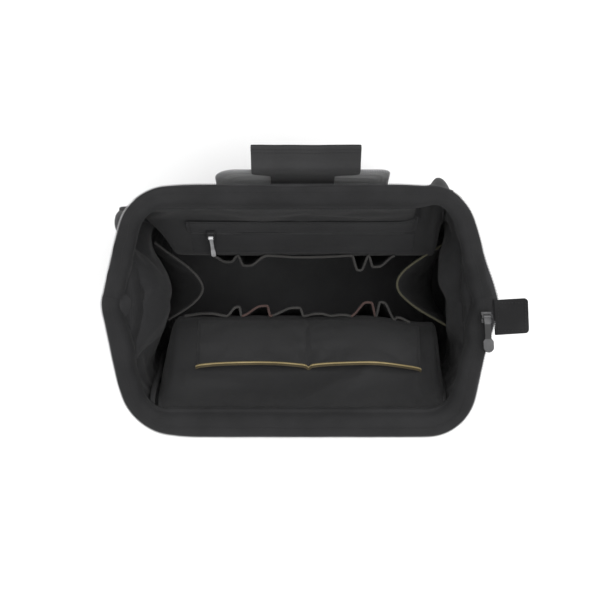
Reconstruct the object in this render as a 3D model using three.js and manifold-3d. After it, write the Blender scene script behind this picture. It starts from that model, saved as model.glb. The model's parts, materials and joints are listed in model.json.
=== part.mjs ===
// Tool backpack standing open, its mouth spread by two hinged U frames. Millimetres, +Z up.
// The origin is the middle of the underside of the base. -Y is the front, +Y the wearer's back.
import * as THREE from "three";
import Module from "manifold-3d";
import { mergeVertices } from "three/addons/utils/BufferGeometryUtils.js";

// Driving dimensions
const GAP = 0.4;
const BASE_THICK = 4;
const WALL = 3;
const LINING = 2;
const HINGE_Y = -11;
const RIM_RADIUS = 4;
const TAPE_WIDTH = 9;
const TAPE_THICK = 1.4;
const BINDING_RADIUS = 1.7;
const SLIP_BINDING_RADIUS = 2.2;
const POCKET_CLOTH = 1.6;
const PATCH_CLOTH = 1.4;
const SEWN_GAP = 1.2;
const HANDLE_WEB = 37;
const WEB_THICK = 2.5;
const STRAP_WIDTH = 62;
const STRAP_THICK = 12;
const LOWER_WEB = 25;

// Body sections from the base up. half is the half width at the hinge line, taper how much narrower the
// corners are, front and back where the cross runs lie, corner the radius, rise the lift of the cross runs.
const SECTIONS = [
  { z: BASE_THICK + 1.2, half: 165, taper: 0, front: -74, back: 74, corner: 24, rise: 0 },
  { z: 72, half: 174, taper: 3, front: -84, back: 80, corner: 27, rise: 0 },
  { z: 150, half: 176, taper: 8, front: -93, back: 82, corner: 29, rise: 4 },
  { z: 225, half: 177, taper: 16, front: -105, back: 86, corner: 31, rise: 16 },
  { z: 290, half: 179, taper: 30, front: -119, back: 91, corner: 33, rise: 38 },
];

// Places where the cloth is pushed out of its plain shape: centre, reach and push on each axis.
const DENTS = [
  { name: "left rear ear", at: [-160, 70, 262], reach: [46, 32, 34], push: [-26, 2, 0] },
  { name: "right rear ear", at: [148, 92, 284], reach: [22, 44, 36], push: [2, 14, 0] },
  { name: "left fold", at: [-178, -18, 215], reach: [40, 62, 46], push: [38, 0, 0] },
  { name: "right fold", at: [178, -44, 190], reach: [40, 30, 70], push: [-18, 0, 0] },
  { name: "front belly", at: [0, -86, 90], reach: [150, 60, 60], push: [0, -9, 0] },
  { name: "left belly", at: [-176, 10, 90], reach: [40, 70, 60], push: [-7, 0, 0] },
  { name: "right belly", at: [176, 10, 90], reach: [40, 70, 60], push: [7, 0, 0] },
];

// How far the inside walls stand in from the outer walls at each height.
const FRONT_LEAN = [
  { z: 6, off: 2 }, { z: 60, off: 22 }, { z: 120, off: 46 }, { z: 170, off: 59 }, { z: 205, off: 65 },
  { z: 222, off: 62 }, { z: 240, off: 48 }, { z: 260, off: 30 }, { z: 285, off: 13 }, { z: 305, off: 5 },
  { z: 326, off: 1 },
];
const BACK_LEAN = [
  { z: 6, off: 2 }, { z: 60, off: 13 }, { z: 110, off: 25 }, { z: 160, off: 35 }, { z: 205, off: 38 },
  { z: 222, off: 32 }, { z: 246, off: 17 }, { z: 268, off: 8 }, { z: 300, off: 2 }, { z: 326, off: 1 },
];
const PANEL_REACH = 0.95;
const PANEL_FLAT = 0.8;
const PANEL_INSET = 3.8;
const PANEL_FOOT = 8;
const PANEL_TOP_GAP = 3;

// Gathered pockets along a row: where each starts and ends, where it stands out most, and by how much.
const FRONT_ROW = {
  bottom: 70, top: 208,
  pockets: [
    { from: -123, to: -77, peak: -100, depth: 5 },
    { from: -77, to: -60, peak: -65, depth: 13 },
    { from: -60, to: -30, peak: -37, depth: 13 },
    { from: -30, to: 5, peak: -1, depth: 12 },
    { from: 5, to: 32, peak: 19, depth: 7 },
    { from: 32, to: 57, peak: 45, depth: 3 },
    { from: 57, to: 79, peak: 73, depth: 15 },
    { from: 79, to: 98, peak: 88, depth: 17 },
    { from: 98, to: 121, peak: 107, depth: 6 },
  ],
};
const BACK_ROW = {
  bottom: 80, top: 208,
  pockets: [
    { from: -90, to: -65, peak: -75, depth: 12 },
    { from: -65, to: -34, peak: -53, depth: 12 },
    { from: -34, to: 58, peak: 10, depth: 3 },
    { from: 58, to: 78, peak: 67, depth: 18 },
    { from: 78, to: 102, peak: 88, depth: 14 },
  ],
};
const SIDE_POCKETS = [
  { side: "left", front: -20, back: 58, tip: 14, depth: 34, bottom: 40, top: 203 },
  { side: "right", front: -27, back: 56, tip: 13, depth: 62, bottom: 40, top: 205 },
];
const SLIP = { left: -108, right: 130, bottom: 216, top: 264, stand: 3.2 };
const ZIP_POCKET = { left: -110, right: 123, bottom: 214, top: 244, tapeTop: 267, sliderX: -90 };

// Carry handle on the back: half spread of its centre line, where it is sewn, and how it leans.
const HANDLE = {
  middle: 4.5, half: 66.5, sewnFrom: 206, bend: 240, reach: 90, lean: 19, corner: 21, ease: 30,
};
const WRAP = { middle: 7.5, half: 52, throat: 31, flap: 25, flapLean: 52, cloth: 1.8 };

// Shoulder strap centre line on the right side, as stand-off from the back wall at each height.
const STRAP_LINE = [
  { x: 62, off: 8, z: 200 }, { x: 63, off: 12, z: 186 }, { x: 66, off: 19, z: 170 },
  { x: 72, off: 26, z: 152 }, { x: 82, off: 29, z: 134 }, { x: 96, off: 27, z: 112 },
  { x: 111, off: 20, z: 95 },
];
const LOWER_LINE = [
  { x: 123, off: 9, z: 62 }, { x: 130, off: 6.5, z: 44 },
  { x: 136, off: 4, z: 28 }, { x: 140, off: 3, z: 14 },
];
const BUCKLE = { wide: 36, tall: 22, thick: 4, slot: 27, slotTall: 4.5 };

// Materials
function paint(color, roughness, metalness = 0) {
  return new THREE.MeshStandardMaterial({ color, roughness, metalness });
}
const SHELL = paint(0x26272a, 0.85);
const LINER = paint(0x2e2f32, 0.85);
const TRIM = paint(0x3b3936, 0.8);
const TAN = paint(0xa98f58, 0.75);
const WEBBING = paint(0x63646a, 0.85);
const WRAPCLOTH = paint(0x3c3d40, 0.85);
const STEEL = paint(0x9a9ca0, 0.35, 0.9);
const GRIP = paint(0x77797d, 0.6);
const PLASTIC = paint(0x1a1b1d, 0.5);

const wasm = await Module();
wasm.setup();
const { Manifold, Mesh: SolidMesh } = wasm;

const bag = new THREE.Group();
bag.name = "tool_backpack";

function add(name, geometry, material, parent = bag) {
  const mesh = new THREE.Mesh(geometry, material);
  mesh.name = name;
  parent.add(mesh);
  return mesh;
}

// Joining and cutting
function toSolid(geometry) {
  const bare = new THREE.BufferGeometry();
  bare.setAttribute("position", geometry.getAttribute("position").clone());
  if (geometry.index) bare.setIndex(geometry.index.clone());
  const merged = mergeVertices(bare, 1e-4);
  const vertProperties = Float32Array.from(merged.getAttribute("position").array);
  const triVerts = Uint32Array.from(merged.index.array);
  return new Manifold(new SolidMesh({ numProp: 3, vertProperties, triVerts }));
}

function toGeometry(solid) {
  const mesh = solid.getMesh();
  const geometry = new THREE.BufferGeometry();
  geometry.setAttribute("position", new THREE.BufferAttribute(Float32Array.from(mesh.vertProperties), 3));
  geometry.setIndex(new THREE.BufferAttribute(Uint32Array.from(mesh.triVerts), 1));
  return geometry;
}

function join(...geometries) {
  return toGeometry(geometries.map(toSolid).reduce((sum, next) => sum.add(next)));
}

function cut(geometry, ...tools) {
  return toGeometry(tools.map(toSolid).reduce((rest, next) => rest.subtract(next), toSolid(geometry)));
}

// Smooth value of a table column at a height
function columnAt(table, key, column, value) {
  const last = table.length - 1;
  if (value <= table[0][key]) return table[0][column];
  if (value >= table[last][key]) return table[last][column];
  const curve = new THREE.SplineCurve(table.map((row) => new THREE.Vector2(row[key], row[column])));
  let low = 0;
  let high = 1;
  for (let step = 0; step < 24; step += 1) {
    const middle = (low + high) / 2;
    if (curve.getPoint(middle).x < value) low = middle;
    else high = middle;
  }
  return curve.getPoint(low).y;
}

// One quarter of a body section, measured from the middle of its cross run to the hinge
function quarter(section, end) {
  const reach = section[end] - HINGE_Y;
  const leg = Math.hypot(section.taper, reach);
  const turn = Math.acos(section.taper / leg);
  const tangent = section.corner * Math.tan(turn / 2);
  const cross = section.half - section.taper - tangent;
  const arc = section.corner * turn;
  return { reach, leg, turn, cross, arc, straight: leg - tangent, seam: cross + arc / 2 };
}

function sectionPoint(section, end, sign, distance) {
  const q = quarter(section, end);
  const way = Math.sign(q.reach);
  let x = distance;
  let y = section[end];
  if (distance > q.cross) {
    const angle = Math.min((distance - q.cross) / section.corner, q.turn);
    x = q.cross + section.corner * Math.sin(angle);
    y = section[end] - way * section.corner * (1 - Math.cos(angle));
    const along = Math.max(distance - q.cross - q.arc, 0);
    x += (along * section.taper) / q.leg;
    y -= (along * q.reach) / q.leg;
  }
  const lift = section.rise * Math.abs((y - HINGE_Y) / q.reach);
  return new THREE.Vector3(sign * x, y, section.z + lift);
}

function push(point) {
  const moved = point.clone();
  for (const dent of DENTS) {
    const [dx, dy, dz] = ["x", "y", "z"].map((axis, k) => (point[axis] - dent.at[k]) / dent.reach[k]);
    const share = Math.exp(-(dx * dx + dy * dy + dz * dz));
    moved.addScaledVector(new THREE.Vector3(...dent.push), share);
  }
  return moved;
}

// A point of an outer wall. t runs from seam to seam (-1 to 1) and h from the base to the rim (0 to 1).
const wallCurves = new Map();
function wallPoint(wall, t, h) {
  const key = `${wall} ${t.toFixed(6)}`;
  if (!wallCurves.has(key)) {
    const points = SECTIONS.map((section) => {
      if (wall === "front" || wall === "back") {
        const q = quarter(section, wall);
        return sectionPoint(section, wall, t < 0 ? -1 : 1, Math.abs(t) * q.seam);
      }
      const end = t < 0 ? "front" : "back";
      const q = quarter(section, end);
      const total = q.cross + q.arc + q.straight;
      return sectionPoint(section, end, wall === "left" ? -1 : 1, total - Math.abs(t) * (total - q.seam));
    });
    wallCurves.set(key, new THREE.CatmullRomCurve3(points));
  }
  return push(wallCurves.get(key).getPoint(Math.min(Math.max(h, 0), 1)));
}

function wallNormal(wall, t, h) {
  const step = 0.01;
  const across = wallPoint(wall, t + step, h).sub(wallPoint(wall, t - step, h));
  const up = wallPoint(wall, t, Math.min(h + step, 1)).sub(wallPoint(wall, t, Math.max(h - step, 0)));
  const normal = across.cross(up).normalize();
  const spot = wallPoint(wall, t, h);
  return normal.dot(new THREE.Vector3(spot.x, spot.y, 0)) < 0 ? normal.negate() : normal;
}

function heightShare(wall, t, z) {
  let low = 0;
  let high = 1;
  for (let step = 0; step < 22; step += 1) {
    const middle = (low + high) / 2;
    if (wallPoint(wall, t, middle).z < z) low = middle;
    else high = middle;
  }
  return low;
}

// Where a front, back or side wall is at a distance across it and a height
const SEAM_SPAN = { front: 158, back: 158, left: 82, right: 82 };
function wallSpot(wall, across, z) {
  const t = across / SEAM_SPAN[wall];
  const h = heightShare(wall, t, z);
  return { point: wallPoint(wall, t, h), out: wallNormal(wall, t, h), t, h };
}

// The inside walls lean in from the outer walls and meet them at the side seams
const LEANS = { front: FRONT_LEAN, back: BACK_LEAN };
function innerPoint(wall, across, z) {
  const spot = wallSpot(wall, across, z);
  const edge = THREE.MathUtils.smoothstep(Math.abs(spot.t), PANEL_FLAT, PANEL_REACH);
  const lean = columnAt(LEANS[wall], "z", "off", z) * (1 - edge);
  const point = spot.point.addScaledVector(spot.out, -PANEL_INSET);
  point.y += lean * (wall === "front" ? 1 : -1);
  return point;
}

function innerSpot(wall, across, z) {
  const step = 2;
  const side = innerPoint(wall, across + step, z).sub(innerPoint(wall, across - step, z));
  const up = innerPoint(wall, across, z + step).sub(innerPoint(wall, across, z - step));
  const normal = side.cross(up).normalize();
  if (Math.sign(normal.y) !== (wall === "front" ? 1 : -1)) normal.negate();
  return { point: innerPoint(wall, across, z), into: normal };
}

// A closed sheet between a surface and the same surface moved along a direction of its own
function clothSheet(surface, columns, rows, thickness) {
  const near = [];
  const far = [];
  for (let j = 0; j <= rows; j += 1) {
    for (let i = 0; i <= columns; i += 1) {
      const { point, along } = surface(i / columns, j / rows);
      near.push(point);
      far.push(point.clone().addScaledVector(along, thickness));
    }
  }
  const vertices = [...near, ...far].flatMap((p) => [p.x, p.y, p.z]);
  const wide = columns + 1;
  const shift = near.length;
  const index = [];
  const quad = (a, b, c, d) => index.push(a, b, c, a, c, d);
  for (let j = 0; j < rows; j += 1) {
    for (let i = 0; i < columns; i += 1) {
      const a = j * wide + i;
      quad(a, a + wide, a + wide + 1, a + 1);
      quad(shift + a, shift + a + 1, shift + a + wide + 1, shift + a + wide);
    }
  }
  const rim = [];
  for (let i = 0; i < columns; i += 1) rim.push(i);
  for (let j = 0; j < rows; j += 1) rim.push(j * wide + columns);
  for (let i = columns; i > 0; i -= 1) rim.push(rows * wide + i);
  for (let j = rows; j > 0; j -= 1) rim.push(j * wide);
  rim.forEach((a, k) => {
    const b = rim[(k + 1) % rim.length];
    quad(a, b, shift + b, shift + a);
  });
  return facingOut(vertices, index);
}

function facingOut(vertices, index) {
  let volume = 0;
  const at = (k) => new THREE.Vector3(...vertices.slice(3 * k, 3 * k + 3));
  for (let k = 0; k < index.length; k += 3) {
    volume += at(index[k]).dot(at(index[k + 1]).cross(at(index[k + 2])));
  }
  if (volume < 0) index.reverse();
  const geometry = new THREE.BufferGeometry();
  geometry.setAttribute("position", new THREE.Float32BufferAttribute(vertices, 3));
  geometry.setIndex(index);
  return geometry;
}

function ringShape(radiusX, radiusY, sides) {
  const points = [];
  for (let k = 0; k < sides; k += 1) {
    const angle = (2 * Math.PI * (k + 0.5)) / sides;
    points.push(new THREE.Vector2(radiusX * Math.cos(angle), radiusY * Math.sin(angle)));
  }
  return new THREE.Shape(points);
}

function tube(points, radius, steps, sides = 6) {
  const extrudePath = new THREE.CatmullRomCurve3(points);
  return new THREE.ExtrudeGeometry(ringShape(radius, radius, sides), { steps, extrudePath });
}

// Base
function baseOutline(grow) {
  const bottom = SECTIONS[0];
  const shape = new THREE.Shape();
  const x = bottom.half + grow;
  const y = bottom.back + grow;
  const r = bottom.corner + grow;
  shape.moveTo(-x + r, -y);
  shape.lineTo(x - r, -y);
  shape.absarc(x - r, -y + r, r, -Math.PI / 2, 0);
  shape.lineTo(x, y - r);
  shape.absarc(x - r, y - r, r, 0, Math.PI / 2);
  shape.lineTo(-x + r, y);
  shape.absarc(-x + r, y - r, r, Math.PI / 2, Math.PI);
  shape.lineTo(-x, -y + r);
  shape.absarc(-x + r, -y + r, r, Math.PI, 1.5 * Math.PI);
  return shape;
}
const base = new THREE.ExtrudeGeometry(baseOutline(WALL), {
  depth: BASE_THICK,
  bevelEnabled: false,
  curveSegments: 6,
});
add("base_panel", base, SHELL);

// Outer walls
const WALLS = [
  { name: "front_panel", wall: "front", columns: 16 },
  { name: "back_panel", wall: "back", columns: 16 },
  { name: "left_gusset", wall: "left", columns: 12 },
  { name: "right_gusset", wall: "right", columns: 12 },
];
for (const { name, wall, columns } of WALLS) {
  const inset = 1 - GAP / SEAM_SPAN[wall];
  const surface = (u, v) => {
    const t = (2 * u - 1) * inset;
    return { point: wallPoint(wall, t, v), along: wallNormal(wall, t, v) };
  };
  add(name, clothSheet(surface, columns, 8, WALL), SHELL);
}

// Inside walls that carry the pockets
for (const wall of ["front", "back"]) {
  const reach = SEAM_SPAN[wall] * PANEL_REACH;
  const surface = (u, v) => {
    const across = (2 * u - 1) * reach;
    const top = wallPoint(wall, across / SEAM_SPAN[wall], 1).z - PANEL_TOP_GAP;
    const { point, into } = innerSpot(wall, across, PANEL_FOOT + v * (top - PANEL_FOOT));
    return { point, along: into };
  };
  add(`${wall}_pocket_panel`, clothSheet(surface, 16, 14, LINING), LINER);
}

// Framed rims: a sleeve over each U, resting on the wall tops, with the zip tape outside it
function framePoint(end, share) {
  const top = SECTIONS[SECTIONS.length - 1];
  const q = quarter(top, end);
  const total = q.cross + q.arc + q.straight;
  const away = Math.abs(2 * share - 1) * (total - 1.2);
  return push(sectionPoint(top, end, share < 0.5 ? -1 : 1, away));
}

function frameOut(end, share) {
  const step = 0.004;
  const run = framePoint(end, Math.min(share + step, 1)).sub(framePoint(end, Math.max(share - step, 0)));
  const out = new THREE.Vector3(run.y, -run.x, 0).normalize();
  const spot = framePoint(end, share);
  return out.dot(new THREE.Vector3(spot.x, spot.y - HINGE_Y, 0)) < 0 ? out.negate() : out;
}

const RIM_STEPS = 30;
for (const end of ["front", "back"]) {
  const centre = (share) => {
    const spot = framePoint(end, share).addScaledVector(frameOut(end, share), WALL / 2);
    spot.z += RIM_RADIUS + 1;
    return spot;
  };
  const points = Array.from({ length: RIM_STEPS + 1 }, (_, k) => centre(k / RIM_STEPS));
  add(`${end}_rim`, tube(points, RIM_RADIUS, RIM_STEPS, 6), SHELL);
  const tape = (u, v) => {
    const out = frameOut(end, u);
    const point = centre(u).addScaledVector(out, RIM_RADIUS + 0.8 + v * TAPE_WIDTH);
    point.z += 1 - 2 * v;
    return { point, along: new THREE.Vector3(0, 0, 1) };
  };
  add(`${end}_zip_tape`, clothSheet(tape, RIM_STEPS, 1, TAPE_THICK), TRIM);
}

// Pockets gathered along a row, open at the top
function bulge(pockets, across) {
  const pocket = pockets.find((row) => across >= row.from && across <= row.to);
  if (!pocket) return 0;
  const before = (across - pocket.from) / (pocket.peak - pocket.from);
  const after = (pocket.to - across) / (pocket.to - pocket.peak);
  const share = Math.min(before, after, 1);
  return pocket.depth * Math.sin((share * Math.PI) / 2) ** 0.9;
}

function rowColumns(pockets) {
  const stops = [];
  for (const { from, to, peak } of pockets) {
    for (const [a, b] of [[from, peak], [peak, to]]) {
      for (let k = 0; k < 2; k += 1) stops.push(a + ((b - a) * k) / 2);
    }
  }
  stops.push(pockets[pockets.length - 1].to);
  return stops;
}

for (const [wall, row] of [["front", FRONT_ROW], ["back", BACK_ROW]]) {
  const stops = rowColumns(row.pockets);
  const columns = stops.length - 1;
  const surface = (u, v) => {
    const across = stops[Math.round(u * columns)];
    const z = row.bottom + v * (row.top - row.bottom);
    const { point, into } = innerSpot(wall, across, z);
    const flat = new THREE.Vector3(0, Math.sign(into.y), 0);
    const open = Math.sin((v * Math.PI) / 2) ** 0.8;
    const stand = LINING / Math.abs(into.y) + 1.4 + bulge(row.pockets, across) * open;
    return { point: point.addScaledVector(flat, stand), along: flat };
  };
  add(`${wall}_tool_pockets`, clothSheet(surface, columns, 4, POCKET_CLOTH), LINER);
  const edge = stops.map((_, k) => {
    const { point, along } = surface(k / columns, 1);
    point.addScaledVector(along, BINDING_RADIUS);
    point.z += BINDING_RADIUS + GAP;
    return point;
  });
  add(`${wall}_tool_binding`, tube(edge, BINDING_RADIUS, columns, 5), TRIM);
}

// Pouches on the gussets, open at the top
for (const pouch of SIDE_POCKETS) {
  const sign = pouch.side === "left" ? 1 : -1;
  const surface = (u, v) => {
    const across = pouch.front + (pouch.back - pouch.front) * u;
    const z = pouch.bottom + v * (pouch.top - pouch.bottom);
    const spot = wallSpot(pouch.side, across, z);
    const before = (across - pouch.front) / (pouch.tip - pouch.front);
    const after = (pouch.back - across) / (pouch.back - pouch.tip);
    const share = Math.min(before, after, 1);
    const open = Math.sin((share * Math.PI) / 2) ** 1.1 * Math.sin((v * Math.PI) / 2) ** 0.8;
    const stand = 2.4 + pouch.depth * open;
    const into = new THREE.Vector3(sign, 0, 0);
    return { point: spot.point.addScaledVector(into, stand), along: into };
  };
  const columns = 12;
  add(`${pouch.side}_side_pocket`, clothSheet(surface, columns, 5, LINING), LINER);
  const edge = Array.from({ length: columns + 1 }, (_, k) => {
    const { point, along } = surface(k / columns, 1);
    point.addScaledVector(along, LINING / 2);
    point.z += BINDING_RADIUS + GAP;
    return point;
  });
  add(`${pouch.side}_side_binding`, tube(edge, BINDING_RADIUS, 18, 5), TRIM);
}

// Flat pocket with a bound edge on the front inside wall
const slipSurface = (u, v) => {
  const across = SLIP.left + (SLIP.right - SLIP.left) * u;
  const sag = 5 * Math.exp(-(((across - 6) / 26) ** 2)) + (across > 90 ? (across - 90) * 0.14 : 0);
  const z = SLIP.bottom + v * (SLIP.top - sag - SLIP.bottom);
  const { point, into } = innerSpot("front", across, z);
  const open = Math.abs(Math.sin(Math.PI * 2 * u)) ** 0.7 * v * v;
  return { point: point.addScaledVector(into, LINING + SEWN_GAP + SLIP.stand * open), along: into };
};
add("slip_pocket", clothSheet(slipSurface, 16, 3, PATCH_CLOTH), LINER);
const slipEdge = Array.from({ length: 25 }, (_, k) => {
  const { point, along } = slipSurface(k / 24, 1);
  const below = slipSurface(k / 24, 0.9).point;
  const up = point.clone().sub(below).normalize();
  return point.addScaledVector(along, 2.4).addScaledVector(up, SLIP_BINDING_RADIUS + GAP);
});
add("slip_pocket_binding", tube(slipEdge, SLIP_BINDING_RADIUS, 24, 6), TAN);

// Zipped pocket on the back inside wall
function backPatch(bottom, top, columns, rows) {
  const surface = (u, v) => {
    const across = ZIP_POCKET.left + (ZIP_POCKET.right - ZIP_POCKET.left) * u;
    const { point, into } = innerSpot("back", across, bottom + v * (top - bottom));
    return { point: point.addScaledVector(into, LINING + SEWN_GAP), along: into };
  };
  return clothSheet(surface, columns, rows, PATCH_CLOTH);
}
add("zip_pocket", backPatch(ZIP_POCKET.bottom, ZIP_POCKET.top, 14, 3), LINER);
add("zip_pocket_tape", backPatch(ZIP_POCKET.top + GAP, ZIP_POCKET.tapeTop, 14, 2), TRIM);

// Slider and puller. Local X is the pin, local Z leaves the tape and the puller lies along -Y.
function slidePieces({ wide, long, pullWide, pullLong, endWide, thick }) {
  const body = new THREE.BoxGeometry(wide, long, 3).translate(0, 0, 1.5);
  const cheek = new THREE.BoxGeometry(1.2, 3.6, 4.6).translate(0, 0, 5);
  const pinLift = 5.6;
  const pin = new THREE.CylinderGeometry(0.8, 0.8, wide - 1, 10);
  pin.rotateZ(Math.PI / 2).translate(0, 0, pinLift);
  const side = wide / 2 - 0.6;
  const slider = join(body, cheek.clone().translate(side, 0, 0), cheek.clone().translate(-side, 0, 0), pin);
  const eyeWide = wide - 2 * 1.2 - 0.8;
  const eye = new THREE.CylinderGeometry(2.2, 2.2, eyeWide, 14).rotateZ(Math.PI / 2);
  const hole = new THREE.CylinderGeometry(1.25, 1.25, wide, 12).rotateZ(Math.PI / 2);
  const blade = new THREE.Shape();
  blade.moveTo(-eyeWide / 2, -1.4);
  blade.lineTo(eyeWide / 2, -1.4);
  blade.lineTo(pullWide / 2, -6);
  blade.lineTo(pullWide / 2, -pullLong * 0.62);
  blade.lineTo(endWide / 2, -pullLong * 0.7);
  blade.lineTo(endWide / 2, -pullLong + endWide / 2);
  blade.absarc(0, -pullLong + endWide / 2, endWide / 2, 0, -Math.PI, true);
  blade.lineTo(-endWide / 2, -pullLong * 0.7);
  blade.lineTo(-pullWide / 2, -pullLong * 0.62);
  blade.lineTo(-pullWide / 2, -6);
  blade.closePath();
  const plate = new THREE.ExtrudeGeometry(blade, { depth: thick, bevelEnabled: false, curveSegments: 8 });
  plate.translate(0, 0, -thick / 2);
  const puller = cut(join(eye, plate), hole);
  puller.translate(0, 0, pinLift);
  return { slider, puller, pinLift };
}

function placeSlide(prefix, spot, normal, sizes, pullerPaint) {
  const pieces = slidePieces(sizes);
  const along = new THREE.Vector3(1, 0, 0);
  const backward = normal.clone().cross(along).normalize();
  const turn = new THREE.Matrix4().makeBasis(along, backward, normal).setPosition(spot);
  add(`${prefix}_slider`, pieces.slider.applyMatrix4(turn), STEEL);
  add(`${prefix}_puller`, pieces.puller.applyMatrix4(turn), pullerPaint);
  return spot.clone().addScaledVector(normal, pieces.pinLift);
}

const pocketZip = innerSpot("back", ZIP_POCKET.sliderX, ZIP_POCKET.top + 3);
pocketZip.into.setX(0).normalize();
const pocketSeat = pocketZip.point.clone();
pocketSeat.addScaledVector(pocketZip.into, LINING + SEWN_GAP + PATCH_CLOTH + 0.9);
placeSlide("pocket_zip", pocketSeat, pocketZip.into, {
  wide: 8, long: 9, pullWide: 3.4, pullLong: 37, endWide: 4.6, thick: 1.6,
}, STEEL);

const mainShare = 0.984;
const mainOut = frameOut("front", mainShare);
const mainRun = framePoint("front", mainShare - 0.02).sub(framePoint("front", mainShare + 0.02));
mainRun.setX(0).normalize();
const mainUp = new THREE.Vector3(1, 0, 0).cross(mainRun).negate().normalize();
const mainSeat = framePoint("front", mainShare);
mainSeat.addScaledVector(mainOut, WALL / 2 + RIM_RADIUS + 2 * GAP + TAPE_WIDTH / 2);
mainSeat.z += RIM_RADIUS + 1 + TAPE_THICK + 1.6;
placeSlide("main_zip", mainSeat, mainUp, {
  wide: 10, long: 11, pullWide: 6, pullLong: 36, endWide: 10, thick: 2.4,
}, GRIP);

// Cloth tab at the zip's end
const tab = new THREE.Shape();
const TAB = { length: 35, width: 35, corner: 4, thick: 3.2 };
tab.moveTo(0, -TAB.width / 2);
tab.lineTo(TAB.length - TAB.corner, -TAB.width / 2);
tab.absarc(TAB.length - TAB.corner, -TAB.width / 2 + TAB.corner, TAB.corner, -Math.PI / 2, 0);
tab.lineTo(TAB.length, TAB.width / 2 - TAB.corner);
tab.absarc(TAB.length - TAB.corner, TAB.width / 2 - TAB.corner, TAB.corner, 0, Math.PI / 2);
tab.lineTo(0, TAB.width / 2);
tab.closePath();
const tabSolid = new THREE.ExtrudeGeometry(tab, { depth: TAB.thick, bevelEnabled: false, curveSegments: 4 });
tabSolid.rotateZ(0.05).rotateY(0.12);
tabSolid.translate(194.4, HINGE_Y - 12, mainSeat.z - 4);
add("zip_end_tab", tabSolid, SHELL);

// Carry handle: a flat webbing arch that leaves the back wall and leans away
const backOut = (x, z, lift) => {
  const spot = wallSpot("back", x, z);
  return spot.point.addScaledVector(spot.out, WALL + lift);
};
const lean = THREE.MathUtils.degToRad(HANDLE.lean);
function archPlace(x, rise, lift) {
  const z = HANDLE.sewnFrom + rise;
  if (z <= HANDLE.bend) return backOut(x, z, GAP + lift);
  const root = backOut(x, HANDLE.bend, GAP + lift);
  const over = z - HANDLE.bend;
  const ease = Math.min(over / HANDLE.ease, 1) * lean;
  return root.add(new THREE.Vector3(0, over * Math.sin(ease), over * Math.cos(ease)));
}

const archTop = HANDLE.bend - HANDLE.sewnFrom + HANDLE.reach - HANDLE_WEB / 2;
const archShoulder = archTop - HANDLE.corner;
const archLeft = HANDLE.middle - HANDLE.half;
const archRight = HANDLE.middle + HANDLE.half;
const archLine = new THREE.Path();
archLine.moveTo(archLeft, 0);
archLine.lineTo(archLeft, archShoulder);
archLine.absarc(archLeft + HANDLE.corner, archShoulder, HANDLE.corner, Math.PI, Math.PI / 2, true);
archLine.lineTo(archRight - HANDLE.corner, archTop);
archLine.absarc(archRight - HANDLE.corner, archShoulder, HANDLE.corner, Math.PI / 2, 0, true);
archLine.lineTo(archRight, 0);
const archSurface = (u, v) => {
  const spot = archLine.getPointAt(u);
  const heading = archLine.getTangentAt(u);
  const side = (v - 0.5) * HANDLE_WEB;
  const point = archPlace(spot.x - heading.y * side, spot.y + heading.x * side, 0);
  return { point, along: new THREE.Vector3(0, Math.cos(lean / 2), -Math.sin(lean / 2)) };
};
add("handle_strap", clothSheet(archSurface, 34, 2, WEB_THICK), WEBBING);

// Wrap folded round the handle's cross run, its two layers joined in a flap behind it
const low = archTop - HANDLE_WEB / 2;
const high = archTop + HANDLE_WEB / 2;
const leanUp = new THREE.Vector3(0, Math.sin(lean), Math.cos(lean));
const leanOut = new THREE.Vector3(0, Math.cos(lean), -Math.sin(lean));
const flapTurn = THREE.MathUtils.degToRad(WRAP.flapLean);
const flapUp = new THREE.Vector3(0, Math.sin(flapTurn), Math.cos(flapTurn));
const flapOut = new THREE.Vector3(0, Math.cos(flapTurn), -Math.sin(flapTurn));
const webMiddle = (rise) => archPlace(0, rise, 0).addScaledVector(leanOut, WEB_THICK / 2);
const hold = WEB_THICK / 2 + 0.5;
const wrapLine = [];
const flapRoot = webMiddle(high + 3.4);
const layer = (side) => [
  flapRoot.clone().addScaledVector(flapUp, WRAP.flap).addScaledVector(flapOut, side * 0.5),
  flapRoot.clone().addScaledVector(flapUp, WRAP.flap * 0.45).addScaledVector(flapOut, side * 0.6),
  flapRoot.clone().addScaledVector(leanUp, 2).addScaledVector(flapOut, side * 1.2),
  webMiddle(high - 4).addScaledVector(leanOut, side * hold),
  webMiddle((high + low) / 2).addScaledVector(leanOut, side * (hold + 0.2)),
  webMiddle(low + 1).addScaledVector(leanOut, side * hold),
];
wrapLine.push(...layer(1));
wrapLine.push(webMiddle(low - 2.6));
wrapLine.push(...layer(-1).reverse());
const wrapSurface = (u, v) => {
  const slot = Math.round(v * (wrapLine.length - 1));
  const spot = wrapLine[slot].clone();
  const before = wrapLine[Math.max(slot - 1, 0)];
  const after = wrapLine[Math.min(slot + 1, wrapLine.length - 1)];
  const run = after.clone().sub(before).normalize();
  const flap = slot <= 2 || slot >= wrapLine.length - 3;
  spot.x = flap ? WRAP.middle : HANDLE.middle;
  spot.x += (2 * u - 1) * (flap ? WRAP.half : WRAP.throat);
  return { point: spot, along: new THREE.Vector3(0, run.z, -run.y).multiplyScalar(-1) };
};
add("handle_wrap", clothSheet(wrapSurface, 4, wrapLine.length - 1, WRAP.cloth), WRAPCLOTH);

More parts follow.
